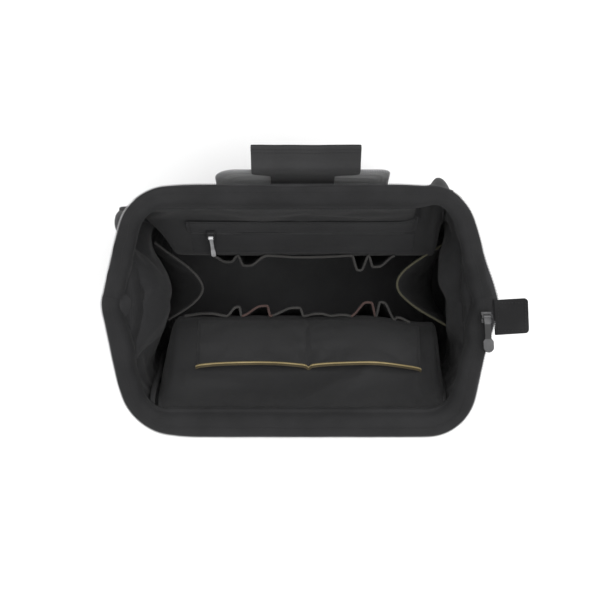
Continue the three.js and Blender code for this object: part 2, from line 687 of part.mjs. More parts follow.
// Shoulder straps, lower straps and their buckles
for (const [side, sign] of [["left", -1], ["right", 1]]) {
  const ribbon = (line, width, thickness, steps, swell) => {
    const curve = new THREE.CatmullRomCurve3(line.map(({ x, off, z }) => backOut(sign * x, z, off)));
    const surface = (u, v) => {
      const spot = curve.getPointAt(v);
      const heading = curve.getTangentAt(v);
      const across = new THREE.Vector3(1, 0, 0).addScaledVector(heading, -heading.x).normalize();
      const out = across.clone().cross(heading).normalize();
      const body = swell ? 0.45 + 0.55 * Math.sin(Math.PI * u) ** 0.5 : 1;
      const narrow = swell ? 0.72 + 0.28 * Math.sin(Math.PI * Math.min(v * 1.25, 1)) ** 0.6 : 1;
      const point = spot.addScaledVector(across, (2 * u - 1) * (width / 2) * narrow);
      return { point: point.addScaledVector(out, (-body * thickness) / 2), along: out.multiplyScalar(body) };
    };
    return clothSheet(surface, swell ? 6 : 2, steps, thickness);
  };
  add(`${side}_shoulder_strap`, ribbon(STRAP_LINE, STRAP_WIDTH, STRAP_THICK, 18, true), SHELL);
  add(`${side}_lower_strap`, ribbon(LOWER_LINE, LOWER_WEB, WEB_THICK, 6, false), WEBBING);
  const from = STRAP_LINE[STRAP_LINE.length - 1];
  const to = LOWER_LINE[0];
  const upper = backOut(sign * from.x, from.z, from.off);
  const lower = backOut(sign * to.x, to.z, to.off);
  const down = lower.clone().sub(upper).normalize();
  const wide = new THREE.Vector3(1, 0, 0).addScaledVector(down, -down.x).normalize();
  const turn = new THREE.Matrix4().makeBasis(wide, down, wide.clone().cross(down));
  turn.setPosition(upper.clone().lerp(lower, 0.5));
  const plate = new THREE.BoxGeometry(BUCKLE.wide, BUCKLE.tall, BUCKLE.thick);
  const slot = new THREE.BoxGeometry(BUCKLE.slot, BUCKLE.slotTall, 2 * BUCKLE.thick);
  const step = BUCKLE.tall / 4;
  const buckle = cut(plate, slot.clone().translate(0, -step, 0), slot.clone().translate(0, step, 0));
  add(`${side}_adjuster`, buckle.applyMatrix4(turn), PLASTIC);
}

export default bag;
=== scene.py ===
import json
import math

import bmesh
import bpy
import numpy as np
from mathutils import Matrix, Vector, noise


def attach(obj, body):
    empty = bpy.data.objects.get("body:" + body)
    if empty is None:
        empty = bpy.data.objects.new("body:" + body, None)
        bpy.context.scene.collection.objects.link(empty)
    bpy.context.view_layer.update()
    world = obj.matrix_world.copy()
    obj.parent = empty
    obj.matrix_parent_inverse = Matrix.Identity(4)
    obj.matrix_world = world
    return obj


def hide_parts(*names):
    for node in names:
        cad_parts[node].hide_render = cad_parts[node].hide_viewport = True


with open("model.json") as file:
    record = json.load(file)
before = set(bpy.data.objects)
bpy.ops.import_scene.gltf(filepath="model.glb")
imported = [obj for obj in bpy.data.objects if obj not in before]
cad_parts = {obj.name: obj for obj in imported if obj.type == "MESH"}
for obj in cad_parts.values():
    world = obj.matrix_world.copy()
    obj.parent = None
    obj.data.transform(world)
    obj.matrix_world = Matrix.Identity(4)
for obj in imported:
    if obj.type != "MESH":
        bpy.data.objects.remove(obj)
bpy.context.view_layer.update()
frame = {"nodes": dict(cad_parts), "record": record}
print("frame loaded:", len(frame["nodes"]), "nodes")

# All shape tables are in millimetres, and newMesh turns them into metres
metre = 0.001
scene = bpy.context.scene
upward = np.array([0, 0, 1.0])
inward = {"front": 1, "back": -1, "left": 1, "right": -1}


# A short table as dictionaries, with one key for each named column
def table(columns, *rows):
    return [dict(zip(columns.split(), row)) for row in rows]


# Body: the rounded sections from the base to the rim, and the places where the cloth is pushed in or out
bodySizes = {
    "hingeY": -11.0,
    "wall": 3.0,
    "lining": 2.0,
    "panelInset": 3.8,
    "panelLeft": (0.82, 0.95),
    "panelRight": (0.94, 1.0),
    "panelFoot": 8.0,
    "panelTop": 8.0,
    "slump": {"front": 0.12, "back": 0.0},
    "slumpSpan": (0.45, 0.85),
    "seamSpan": {"front": 158.0, "back": 158.0, "left": 82.0, "right": 82.0},
}
sectionRows = table(
    "z half taper front back corner rise",
    (5.2, 165, 0, -74, 74, 24, 0),
    (72, 174, 3, -84, 80, 27, 0),
    (150, 176, 8, -93, 82, 29, 4),
    (225, 177, 16, -105, 86, 31, 16),
    (290, 179, 30, -119, 91, 33, 38),
)
baseRow, topRow = sectionRows[0], sectionRows[-1]
dentRows = table(  # top is the height over which a fold fades to the rim
    "at reach push top",
    ((-158, 80, 262), (46, 28, 32), (-29, 3, 0), None),
    ((139, 92, 284), (17, 44, 30), (1, 28, 0), None),
    ((-178, -8, 215), (40, 55, 46), (38, 0, 0), 75),
    ((178, 9, 215), (40, 44, 50), (-22, 0, 0), 75),
    ((0, -86, 90), (150, 60, 60), (0, -9, 0), None),
    ((-176, 10, 90), (40, 70, 60), (-7, 0, 0), None),
    ((176, 10, 90), (40, 70, 60), (7, 0, 0), None),
)
leanRows = {  # height and how far the inside wall stands in from the outer one
    "front": [(6, 2), (60, 22), (120, 46), (170, 59), (205, 65), (222, 62), (240, 48), (260, 30),
              (285, 13), (305, 5), (326, 1)],
    "back": [(6, 2), (60, 13), (110, 25), (160, 35), (205, 38), (222, 32), (246, 17), (268, 8),
             (300, 2), (326, 1)],
}


def unit(vectors):
    return vectors / np.maximum(np.linalg.norm(vectors, axis=-1, keepdims=True), 1e-9)


def blend(first, second, share):
    return first + (second - first) * share


def smoothStep(value, low, high):
    share = np.clip((value - low) / (high - low), 0, 1)
    return share * share * (3 - 2 * share)


# Rises quickly from 0 and levels off at 1
def rounded(share, curl=1.0):
    return np.sin(share * math.pi / 2) ** curl


# Distance along a path at each of its points, or down each column of a grid
def runLength(path):
    steps = np.linalg.norm(np.diff(path, axis=0), axis=-1)
    return np.concatenate([np.zeros_like(steps[:1]), np.cumsum(steps, axis=0)])


def cubicBetween(start, stop, leave, arrive, share):
    cube = (2 * start - 2 * stop + leave + arrive) * share ** 3
    return cube + (3 * stop - 3 * start - 2 * leave - arrive) * share ** 2 + leave * share + start


def splineTable(rows, samples=24):
    points = np.array(rows, float)
    last = len(points) - 1
    shares = np.linspace(0, 1, samples, endpoint=False)[:, None]
    spans = []
    for k in range(last):
        before, start, stop, after = points[[max(k - 1, 0), k, k + 1, min(k + 2, last)]]
        spans.append(cubicBetween(start, stop, (stop - before) / 2, (after - start) / 2, shares))
    return np.concatenate(spans + [points[last:]])


def resample(values, places, wanted):
    return np.stack([np.interp(wanted, places, column) for column in values.T], axis=1)


def smoothPath(points, count):
    fine = splineTable(points, samples=16)
    length = runLength(fine)
    return resample(fine, length, np.linspace(0, length[-1], count))


leanCurves = {wall: splineTable(rows).T for wall, rows in leanRows.items()}


def leanAt(wall, z):
    return np.interp(z, *leanCurves[wall])


# One quarter of a body section, from the middle of its cross run to the hinge
def quarter(row, end):
    reach = row[end] - bodySizes["hingeY"]
    leg = math.hypot(row["taper"], reach)
    turn = math.acos(row["taper"] / leg)
    tangent = row["corner"] * math.tan(turn / 2)
    cross = row["half"] - row["taper"] - tangent
    arc = row["corner"] * turn
    return {"reach": reach, "leg": leg, "turn": turn, "cross": cross, "arc": arc,
            "seam": cross + arc / 2, "total": cross + arc + leg - tangent}


def sectionPoints(row, end, sign, distance):
    q = quarter(row, end)
    way = math.copysign(1, q["reach"])
    angle = np.clip((distance - q["cross"]) / row["corner"], 0, q["turn"])
    along = np.maximum(distance - q["cross"] - q["arc"], 0)
    x = np.minimum(distance, q["cross"]) + row["corner"] * np.sin(angle) + along * row["taper"] / q["leg"]
    x = np.where(distance > q["total"], 2 * row["half"] - x, x)
    y = row[end] - way * row["corner"] * (1 - np.cos(angle)) - along * q["reach"] / q["leg"]
    z = row["z"] + row["rise"] * np.abs((y - bodySizes["hingeY"]) / q["reach"])
    return np.stack([sign * x, y, z], axis=-1)


def pushCloth(points):
    moved = points.copy()
    for dent in dentRows:
        away = (points - np.array(dent["at"])) / np.array(dent["reach"])
        share = np.exp(-(away ** 2).sum(-1))
        if dent["top"]:
            rise = (points[..., 2] - dent["at"][2]) / dent["top"]
            arch = np.exp(-(away[..., :2] ** 2).sum(-1)) * np.clip(1 - rise ** 2, 0, 1)
            share = np.where(rise > 0, arch, share)
        moved += share[..., None] * np.array(dent["push"], float)
    return moved


def wallControls(wall, t):
    layers = []
    for row in sectionRows:
        if wall in ("front", "back"):
            seam = quarter(row, wall)["seam"]
            layers.append(sectionPoints(row, wall, np.where(t < 0, -1, 1), np.abs(t) * seam))
            continue
        halves = []
        for end in ("front", "back"):
            q = quarter(row, end)
            distance = q["total"] - np.abs(t) * (q["total"] - q["seam"])
            halves.append(sectionPoints(row, end, -inward[wall], distance))
        layers.append(np.where((t < 0)[:, None], *halves))
    controls = np.stack(layers)
    first = 2 * controls[0] - controls[1]
    last = 2 * controls[-1] - controls[-2]
    return np.concatenate([first[None], controls, last[None]])


def alongControls(controls, h):
    spans = len(controls) - 3
    along = np.clip(h, 0, 1) * spans
    k = np.minimum(along.astype(int), spans - 1)
    p0, p1, p2, p3 = (controls[k + j, np.arange(len(k))] for j in range(4))
    pairs = ((p0, p1), (p1, p2), (p2, p3))
    d0, d1, d2 = (np.sqrt(np.linalg.norm(b - a, axis=1))[:, None] for a, b in pairs)
    leave = ((p1 - p0) / d0 - (p2 - p0) / (d0 + d1) + (p2 - p1) / d1) * d1
    arrive = ((p2 - p1) / d1 - (p3 - p1) / (d1 + d2) + (p3 - p2) / d2) * d1
    return pushCloth(cubicBetween(p1, p2, leave, arrive, (along - k)[:, None]))


# A place on an outer wall: t from seam to seam is -1 to 1, and h from the base to the rim is 0 to 1
def wallAt(wall, t, h):
    t, h = np.broadcast_arrays(np.asarray(t, float), np.asarray(h, float))
    return alongControls(wallControls(wall, t.ravel()), h.ravel()).reshape(*t.shape, 3)


def wallOut(wall, t, h):
    step = 0.01
    across = wallAt(wall, t + step, h) - wallAt(wall, t - step, h)
    up = wallAt(wall, t, np.minimum(h + step, 1)) - wallAt(wall, t, np.maximum(h - step, 0))
    normal = unit(np.cross(across, up))
    spot = wallAt(wall, t, h)
    facing = np.sign(normal[..., 0] * spot[..., 0] + normal[..., 1] * spot[..., 1])
    return normal * np.where(facing == 0, 1, facing)[..., None]


# The same wall by its width from the middle and its height, found by halving h
halvings = 22


def wallSpot(wall, across, z):
    across, z = np.broadcast_arrays(np.asarray(across, float), np.asarray(z, float))
    t = across / bodySizes["seamSpan"][wall]
    controls = wallControls(wall, t.ravel())
    low, high = np.zeros(t.size), np.ones(t.size)
    for _ in range(halvings):
        middle = (low + high) / 2
        below = alongControls(controls, middle)[:, 2] < z.ravel()
        low, high = np.where(below, middle, low), np.where(below, high, middle)
    h = low.reshape(t.shape)
    return wallAt(wall, t, h), wallOut(wall, t, h), t


def flatShare(wall, t):
    share = 1 - smoothStep(-t, *bodySizes["panelLeft"]) - smoothStep(t, *bodySizes["panelRight"])
    return share * (1 - bodySizes["slump"][wall] * smoothStep(t, *bodySizes["slumpSpan"]))


# A place on an inside wall, or standing off it towards the middle of the bag
def innerAt(wall, across, z, stand=0.0):
    point, out, t = wallSpot(wall, across, z)
    point = point - out * (bodySizes["panelInset"] + stand)
    point[..., 1] += leanAt(wall, z) * flatShare(wall, t) * inward[wall]
    return point


def innerSpot(wall, across, z):
    step = 2
    across, z = np.broadcast_arrays(np.asarray(across, float), np.asarray(z, float))
    side = innerAt(wall, across + step, z) - innerAt(wall, across - step, z)
    up = innerAt(wall, across, z + step) - innerAt(wall, across, z - step)
    normal = unit(np.cross(side, up))
    facing = np.sign(normal[..., 1]) * inward[wall]
    return innerAt(wall, across, z), normal * facing[..., None]


# The two U frames of the mouth, front and back, from the left hinge (share 0) to the right one (share 1)
def frameAt(end, share):
    away = np.abs(2 * share - 1) * quarter(topRow, end)["total"]
    return pushCloth(sectionPoints(topRow, end, np.where(share < 0.5, -1, 1), away))


def frameOut(end, share):
    step = 0.004
    run = frameAt(end, share + step) - frameAt(end, share - step)
    out = unit(np.stack([run[..., 1], -run[..., 0], np.zeros(len(run))], axis=-1))
    spot = frameAt(end, share)
    facing = out[..., 0] * spot[..., 0] + out[..., 1] * (spot[..., 1] - bodySizes["hingeY"])
    return out * np.where(facing < 0, -1, 1)[..., None]


# Cloth folds: soft noise of a given size, and creases by place, direction, length, width and depth
seeds = {"wallBroad": 3, "wallFine": 8, "panel": 5, "ripple": 11, "crinkle": 13, "toolRow": 17, "pouch": 23,
         "slipPocket": 31, "zipPocket": 37, "wrap": 41}
seedShift = (7.31, 3.17, 5.73)  # each seed reads another part of the noise


def softNoise(points, size, name):
    shift = Vector([part * seeds[name] for part in seedShift])
    flat = points.reshape(-1, 3) / size
    return np.array([noise.noise(Vector(p) + shift) for p in flat]).reshape(points.shape[:-1])


def softFold(points, sizes, name):
    return softNoise(points, sizes["noiseSize"], name) * sizes["noise"]


creaseColumns = "across z angle long wide deep"


def creaseDepth(rows, across, z):
    depth = np.zeros(np.broadcast(across, z).shape)
    for row in rows:
        turn = math.radians(row["angle"])
        dx, dz = across - row["across"], z - row["z"]
        along = dx * math.cos(turn) + dz * math.sin(turn)
        aside = -dx * math.sin(turn) + dz * math.cos(turn)
        depth += row["deep"] * np.exp(-(along / row["long"]) ** 2 - (aside / row["wide"]) ** 2)
    return depth


# Shader groups
def newGroup(name, inputs, outputs):
    tree = bpy.data.node_groups.new(name, "ShaderNodeTree")
    for label, kind, value in inputs:
        socket = tree.interface.new_socket(name=label, in_out="INPUT", socket_type=kind)
        if value is not None:
            socket.default_value = value
    for label in outputs:
        tree.interface.new_socket(name=label, in_out="OUTPUT", socket_type="NodeSocketFloat")
    return tree, tree.nodes.new("NodeGroupInput").outputs, tree.nodes.new("NodeGroupOutput").inputs


def feed(tree, socket, value):
    if isinstance(value, bpy.types.NodeSocket):
        tree.links.new(value, socket)
    else:
        socket.default_value = value


def maths(tree, operation, *values):
    node = tree.nodes.new("ShaderNodeMath")
    node.operation = operation
    for socket, value in zip(node.inputs, values):
        feed(tree, socket, value)
    return node.outputs[0]


def weighted(tree, *parts):
    total = None
    for value, weight in parts:
        part = maths(tree, "MULTIPLY", value, weight)
        total = part if total is None else maths(tree, "ADD", total, part)
    return total


def mapRange(tree, value, low, high, toLow=0.0, toHigh=1.0):
    node = tree.nodes.new("ShaderNodeMapRange")
    for label, amount in (("From Min", low), ("From Max", high), ("To Min", toLow), ("To Max", toHigh)):
        node.inputs[label].default_value = amount
    feed(tree, node.inputs["Value"], value)
    return node.outputs["Result"]


def noiseField(tree, vector, scale, detail):
    node = tree.nodes.new("ShaderNodeTexNoise")
    feed(tree, node.inputs["Vector"], vector)
    feed(tree, node.inputs["Scale"], scale)
    node.inputs["Detail"].default_value = detail
    return node.outputs["Fac"]


def humps(tree, value):
    return maths(tree, "ABSOLUTE", maths(tree, "SINE", maths(tree, "MULTIPLY", value, math.pi)))


# Threads that pass over and under each other, one cell at a time
def weavePattern(tree, x, y):
    cell = maths(tree, "ADD", maths(tree, "FLOOR", x), maths(tree, "FLOOR", y))
    over = maths(tree, "FLOORED_MODULO", cell, 2.0)
    under = maths(tree, "SUBTRACT", 1.0, over)
    return weighted(tree, (over, humps(tree, x)), (under, humps(tree, y)))


# Slanting ribs across a band
def ribPattern(tree, x, y):
    return humps(tree, maths(tree, "ADD", y, maths(tree, "PINGPONG", x, 2.0)))


def threadGroup(name, pattern):
    inputs = [("Vector", "NodeSocketVector", None), ("Threads", "NodeSocketFloat", 1000.0)]
    tree, given, out = newGroup(name, inputs, ("Height", "Gap"))
    split = tree.nodes.new("ShaderNodeSeparateXYZ")
    tree.links.new(given["Vector"], split.inputs[0])
    x, y = (maths(tree, "MULTIPLY", split.outputs[axis], given["Threads"]) for axis in "XY")
    height = pattern(tree, x, y)
    tree.links.new(height, out["Height"])
    tree.links.new(maths(tree, "SUBTRACT", 1.0, height), out["Gap"])
    return tree


# Worn patches and specks of lint: the input for their scale, and the noise values that they grow between
wearSizes = {
    "Fade": {"input": "Patch", "scale": 14.0, "detail": 4.0, "span": (0.36, 0.68)},
    "Dust": {"input": "Lint", "scale": 420.0, "detail": 1.0, "span": (0.62, 0.8)},
}


def makeWearGroup():
    inputs = [("Vector", "NodeSocketVector", None)]
    inputs += [(wear["input"], "NodeSocketFloat", wear["scale"]) for wear in wearSizes.values()]
    tree, given, out = newGroup("handledWear", inputs, wearSizes)
    for label, wear in wearSizes.items():
        field = noiseField(tree, given["Vector"], given[wear["input"]], wear["detail"])
        tree.links.new(mapRange(tree, field, *wear["span"]), out[label])
    return tree


threadGroups = {
    "weave": threadGroup("plainWeave", weavePattern),
    "ribs": threadGroup("crossRibs", ribPattern),
}
wearGroup = makeWearGroup()


def addGroup(tree, group, **values):
    node = tree.nodes.new("ShaderNodeGroup")
    node.node_tree = group
    for label, value in values.items():
        feed(tree, node.inputs[label], value)
    return node.outputs


def mixLook(tree, factor, look):
    node = tree.nodes.new("ShaderNodeMix")
    node.data_type = "RGBA"
    feed(tree, node.inputs[0], factor)
    node.inputs[6].default_value = (*look["dark"], 1)
    node.inputs[7].default_value = (*look["light"], 1)
    return node.outputs[2]


def bumpFrom(tree, height, strength, distance):
    node = tree.nodes.new("ShaderNodeBump")
    node.inputs["Strength"].default_value = strength
    node.inputs["Distance"].default_value = distance
    tree.links.new(height, node.inputs["Height"])
    return node.outputs["Normal"]


def newMaterial(name):
    material = bpy.data.materials.new(name)
    material.use_nodes = True
    tree = material.node_tree
    return material, tree, tree.nodes["Principled BSDF"].inputs


def addWear(tree, **values):
    spot = tree.nodes.new("ShaderNodeTexCoord").outputs["Object"]
    return addGroup(tree, wearGroup, Vector=spot, **values)


# Cloth finishes: dark and light thread colours, threads to a metre, bump depth, sheen, size of worn patches
clothLooks = table(
    "name dark light threads depth rough sheen patch group",
    ("shellCloth", (0.0125, 0.0125, 0.0132), (0.03, 0.03, 0.0315), 1050, 0.22, 0.62, 0.08, 11, "weave"),
    ("hemCloth", (0.0085, 0.0085, 0.009), (0.021, 0.021, 0.022), 1050, 0.22, 0.64, 0.06, 24, "weave"),
    ("liningCloth", (0.0155, 0.0155, 0.016), (0.034, 0.034, 0.035), 1400, 0.14, 0.58, 0.06, 9, "weave"),
    ("slipCloth", (0.019, 0.019, 0.0196), (0.042, 0.042, 0.043), 1400, 0.14, 0.58, 0.06, 9, "weave"),
    ("wrapCloth", (0.018, 0.018, 0.0188), (0.042, 0.042, 0.043), 900, 0.3, 0.7, 0.1, 16, "weave"),
    ("zipTapeCloth", (0.014, 0.014, 0.015), (0.035, 0.035, 0.037), 800, 0.25, 0.66, 0.08, 20, "ribs"),
    ("floorCloth", (0.03, 0.03, 0.031), (0.066, 0.066, 0.068), 1100, 0.14, 0.62, 0.05, 9, "weave"),
    ("darkBinding", (0.02, 0.0195, 0.019), (0.058, 0.056, 0.053), 620, 0.4, 0.6, 0.1, 26, "ribs"),
    ("oliveBinding", (0.034, 0.032, 0.019), (0.105, 0.1, 0.064), 620, 0.4, 0.6, 0.1, 26, "ribs"),
    ("redBinding", (0.04, 0.023, 0.02), (0.105, 0.065, 0.058), 620, 0.4, 0.6, 0.1, 26, "ribs"),
    ("tanBinding", (0.19, 0.145, 0.06), (0.46, 0.37, 0.19), 560, 0.4, 0.55, 0.1, 30, "ribs"),
    ("brownBinding", (0.035, 0.027, 0.013), (0.085, 0.066, 0.034), 560, 0.4, 0.6, 0.1, 30, "ribs"),
    ("pouchCloth", (0.009, 0.009, 0.0095), (0.021, 0.021, 0.022), 1400, 0.14, 0.6, 0.05, 9, "weave"),
    # The webbing's grey is lighter than its own grey-black: painted light and sheen for the handle and lower
    # straps
    ("handleWebbing", (0.145, 0.146, 0.148), (0.34, 0.342, 0.348), 520, 0.5, 0.6, 0.4, 18, "ribs"),
)
clothWear = {"thread": 0.45, "fade": 0.5, "dust": 0.22, "gapRough": 0.2, "bump": 0.55, "shine": 0.22,
             "sheenRough": 0.45}


def clothMaterial(look):
    material, tree, shader = newMaterial(look["name"])
    uv = tree.nodes.new("ShaderNodeUVMap")
    uv.uv_map = "weave"
    threads = addGroup(tree, threadGroups[look["group"]], Vector=uv.outputs[0], Threads=look["threads"])
    wear = addWear(tree, Patch=look["patch"])
    share = weighted(tree, (threads["Height"], clothWear["thread"]), (wear["Fade"], clothWear["fade"]),
                     (wear["Dust"], clothWear["dust"]))
    feed(tree, shader["Base Color"], mixLook(tree, share, look))
    gaps = maths(tree, "MULTIPLY", threads["Gap"], clothWear["gapRough"])
    feed(tree, shader["Roughness"], maths(tree, "ADD", gaps, look["rough"]))
    feed(tree, shader["Normal"], bumpFrom(tree, threads["Height"], clothWear["bump"], look["depth"] * metre))
    shader["Specular IOR Level"].default_value = clothWear["shine"]
    shader["Sheen Weight"].default_value = look["sheen"]
    shader["Sheen Roughness"].default_value = clothWear["sheenRough"]
    return material


# Hard finishes: dark and light colours, how metallic and how rough
hardLooks = table(
    "name dark light metal rough",
    ("platedMetal", (0.05, 0.05, 0.052), (0.16, 0.16, 0.163), 0.8, 0.36),
    ("brightSteel", (0.5, 0.5, 0.51), (0.78, 0.78, 0.79), 0.4, 0.35),
    ("darkMetal", (0.03, 0.03, 0.031), (0.07, 0.07, 0.072), 0.5, 0.4),
    ("gripRubber", (0.012, 0.012, 0.0125), (0.03, 0.03, 0.031), 0.0, 0.55),
    ("gripEnd", (0.045, 0.045, 0.047), (0.1, 0.1, 0.103), 0.0, 0.5),
    ("bucklePlastic", (0.012, 0.012, 0.013), (0.03, 0.03, 0.031), 0.0, 0.42),
    # Light grey zip teeth: a painted highlight along the rim's outer edge
    ("zipCoil", (0.28, 0.28, 0.284), (0.46, 0.46, 0.466), 0.0, 0.45),
    # Dark zip teeth: painted shade on the back rim under the handle, and also the pocket zip's dark coil
    ("darkCoil", (0.022, 0.022, 0.023), (0.05, 0.05, 0.052), 0.0, 0.45),
    ("sewingThread", (0.006, 0.006, 0.0065), (0.016, 0.016, 0.017), 0.0, 0.7),
)
hardWear = {"patch": 90.0, "lint": 1500.0, "fade": 0.7, "dust": 0.3, "rougher": 0.16, "bump": 0.15,
            "depth": 0.1}


def hardMaterial(look):
    material, tree, shader = newMaterial(look["name"])
    wear = addWear(tree, Patch=hardWear["patch"], Lint=hardWear["lint"])
    share = weighted(tree, (wear["Fade"], hardWear["fade"]), (wear["Dust"], hardWear["dust"]))
    feed(tree, shader["Base Color"], mixLook(tree, share, look))
    roughest = look["rough"] + hardWear["rougher"]
    feed(tree, shader["Roughness"], mapRange(tree, wear["Fade"], 0, 1, look["rough"], roughest))
    feed(tree, shader["Normal"], bumpFrom(tree, wear["Dust"], hardWear["bump"], hardWear["depth"] * metre))
    shader["Metallic"].default_value = look["metal"]
    return material


paint = {look["name"]: clothMaterial(look) for look in clothLooks}
paint.update({look["name"]: hardMaterial(look) for look in hardLooks})
print("materials made:", len(paint))


# Meshes, whose points are merged within the weld distance, in metres
weldDistance = 1e-6


def addObject(name, data):
    obj = bpy.data.objects.new(name, data)
    scene.collection.objects.link(obj)
    return obj


def newMesh(name, points, faces, uv=None, look=None):
    mesh = bpy.data.meshes.new(name)
    mesh.from_pydata((np.asarray(points, float).reshape(-1, 3) * metre).tolist(), [], faces)
    if uv is not None:
        layer = mesh.uv_layers.new(name="weave")
        corner = np.zeros(len(mesh.loops), int)
        mesh.loops.foreach_get("vertex_index", corner)
        layer.data.foreach_set("uv", (np.asarray(uv, float).reshape(-1, 2)[corner] * metre).ravel())
    if look:
        mesh.materials.append(paint[look])
    mesh.polygons.foreach_set("use_smooth", np.ones(len(mesh.polygons), bool))
    return addObject(name, mesh)


def gridFaces(rows, columns, closed=False):
    faces = []
    for j in range(rows - 1):
        for i in range(columns if closed else columns - 1):
            a, b = j * columns + i, j * columns + (i + 1) % columns
            faces.append((a, b, b + columns, a + columns))
    return faces


# Closed rings joined into one skin, with both ends capped
def ringsPiece(name, rings, uv, look):
    rows, columns = rings.shape[:2]
    faces = gridFaces(rows, columns, closed=True)
    faces += [tuple(range(columns)), tuple(reversed(range((rows - 1) * columns, rows * columns)))]
    return newMesh(name, rings, faces, uv, look)


def weaveOf(across, along):
    return np.stack(np.broadcast_arrays(across, along), axis=-1)


def fixNormals(obj):
    work = bmesh.new()
    work.from_mesh(obj.data)
    bmesh.ops.remove_doubles(work, verts=work.verts, dist=weldDistance)
    bmesh.ops.recalc_face_normals(work, faces=work.faces)
    work.to_mesh(obj.data)
    work.free()
    return obj


def addSmoothing(obj):
    smooth = obj.modifiers.new("smooth", "SUBSURF")
    smooth.levels = smooth.render_levels = 1


def tubePiece(name, path, up, wide, tall, look, sides=10):
    run = unit(np.gradient(path, axis=0))
    side = unit(np.cross(run, up))
    lift = np.cross(side, run)
    angle = np.linspace(0, 2 * math.pi, sides, endpoint=False)[:, None]
    rings = path[:, None] + side[:, None] * (np.cos(angle) * wide) + lift[:, None] * (np.sin(angle) * tall)
    around = np.arange(sides) / sides * math.pi * (wide + tall)
    return fixNormals(ringsPiece(name, rings, weaveOf(around, runLength(path)[:, None]), look))


# Section of ribbed webbing about its middle: place across from -1 to 1, and height, thinner at its sides
ribSteps = 4
edgeCurl = 14


def ribLoop(thick, ribs, ribDepth, edge):
    across = np.linspace(-1, 1, ribSteps * ribs + 1)
    height = thick / 2 * (1 - np.abs(across) ** edgeCurl * edge) + ribDepth * np.cos(across * math.pi * ribs)
    return np.concatenate([np.stack([across, height], 1), np.stack([across, -height], 1)[::-1]])


def pointsOf(obj):
    points = np.zeros(len(obj.data.vertices) * 3)
    obj.data.vertices.foreach_get("co", points)
    return points.reshape(-1, 3)


# Cloth settles for a few frames between its sewn points, and no point moves further than the cap
clothSettings = {"quality": 5, "mass": 0.25, "tension_stiffness": 25, "compression_stiffness": 25,
                 "shear_stiffness": 12, "air_damping": 4, "vertex_group_mass": "sewn"}


def settleCloth(obj, pinned, slack, stiff, cap, pressure=0.0, frames=18):
    group = obj.vertex_groups.new(name="sewn")
    group.add([int(k) for k in pinned], 1.0, "REPLACE")
    rest = pointsOf(obj)
    cloth = obj.modifiers.new("cloth", "CLOTH")
    settings = cloth.settings
    for label, value in clothSettings.items():
        setattr(settings, label, value)
    settings.bending_stiffness = stiff
    settings.shrink_min = -slack
    settings.effector_weights.gravity = 0.0
    if pressure:
        settings.use_pressure = True
        settings.uniform_pressure_force = pressure
    cloth.collision_settings.use_collision = False
    cloth.point_cache.frame_start = 1
    cloth.point_cache.frame_end = frames
    for step in range(1, frames + 1):
        scene.frame_set(step)
    shift = pointsOf(obj.evaluated_get(bpy.context.evaluated_depsgraph_get())) - rest
    obj.modifiers.remove(cloth)
    scene.frame_set(1)
    far = np.linalg.norm(shift, axis=1, keepdims=True)
    limit = cap * metre
    shift *= np.where(far > 1e-9, limit * np.tanh(far / limit) / np.maximum(far, 1e-9), 0)
    obj.data.vertices.foreach_set("co", (rest + shift).ravel())
    obj.data.update()
    obj.vertex_groups.clear()


def borderOf(rows, columns):
    index = np.arange(rows * columns).reshape(rows, columns)
    return np.unique(np.concatenate([index[0], index[-1], index[:, 0], index[:, -1]]))


def place(obj, slotName, *nodes, body="bag"):
    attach(obj, body)
    if nodes:
        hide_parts(*nodes)
    return obj


# A cloth sheet from a grid of points, settled where settling is given, and then made thick
def clothPiece(name, grid, uv, look, thick, slotName, node, **settling):
    rows, columns = grid.shape[:2]
    obj = newMesh(name, grid, gridFaces(rows, columns), uv, look)
    if settling:
        settleCloth(obj, **{"pinned": borderOf(rows, columns), **settling})
    wall = obj.modifiers.new("thickness", "SOLIDIFY")
    wall.thickness = thick * metre
    wall.offset = 0.0
    addSmoothing(obj)
    return place(obj, slotName, node)


# Stitches and zip teeth run along lines that the pieces below add here, each a list of points
stitchLines = []
litCoilLines = []
darkAndShadedCoilLines = []


# Straight runs from corner to corner
def cornerLine(corners, steps=8):
    corners = np.array(corners, float)
    runs = [np.linspace(a, b, steps, endpoint=False) for a, b in zip(corners[:-1], corners[1:])]
    return np.concatenate(runs + [corners[-1:]])


# Camera at the photo's angle: straight down, leaning a little towards the back
cameraSizes = {"distance": 900.0, "aim": (0, -11.0, 290.0), "elevation": 93.0, "lens": 54.0, "sensor": 36.0,
               "pictureWide": 600, "shiftRight": 2, "shiftUp": 10, "clipEnd": 20.0}


def makeCamera():
    tilt = math.radians(cameraSizes["elevation"])
    back = Vector((0, -math.cos(tilt), math.sin(tilt)))
    up = Vector((0, math.sin(tilt), math.cos(tilt)))
    data = bpy.data.cameras.new("photoCamera")
    data.lens = cameraSizes["lens"]
    data.sensor_width = cameraSizes["sensor"]
    data.shift_x = cameraSizes["shiftRight"] / cameraSizes["pictureWide"]
    data.shift_y = cameraSizes["shiftUp"] / cameraSizes["pictureWide"]
    data.clip_end = cameraSizes["clipEnd"]
    camera = addObject("photoCamera", data)
    turn = Matrix((up.cross(back), up, back)).transposed().to_4x4()
    spot = (Vector(cameraSizes["aim"]) + back * cameraSizes["distance"]) * metre
    camera.matrix_world = Matrix.Translation(spot) @ turn
    scene.camera = camera


makeCamera()


# Studio: pale floor, soft sky, a wide soft sun overhead and a soft light from the front right, in metres
studio = {"floor": (0.93, 0.93, 0.93), "floorSize": 9.0, "floorDrop": 0.0002, "floorRough": 0.7, "sky": 1.0,
          "sun": 1.15, "sunAngle": 46.0, "sunTurn": (1.5, 8.0), "key": 10.0, "keySize": 1.6,
          "keyAt": (1.2, -0.6, 2.2), "keyAim": (0, 0, 0.2)}


def addLight(name, kind, power):
    data = bpy.data.lights.new(name, kind)
    data.energy = power
    return addObject(name, data)


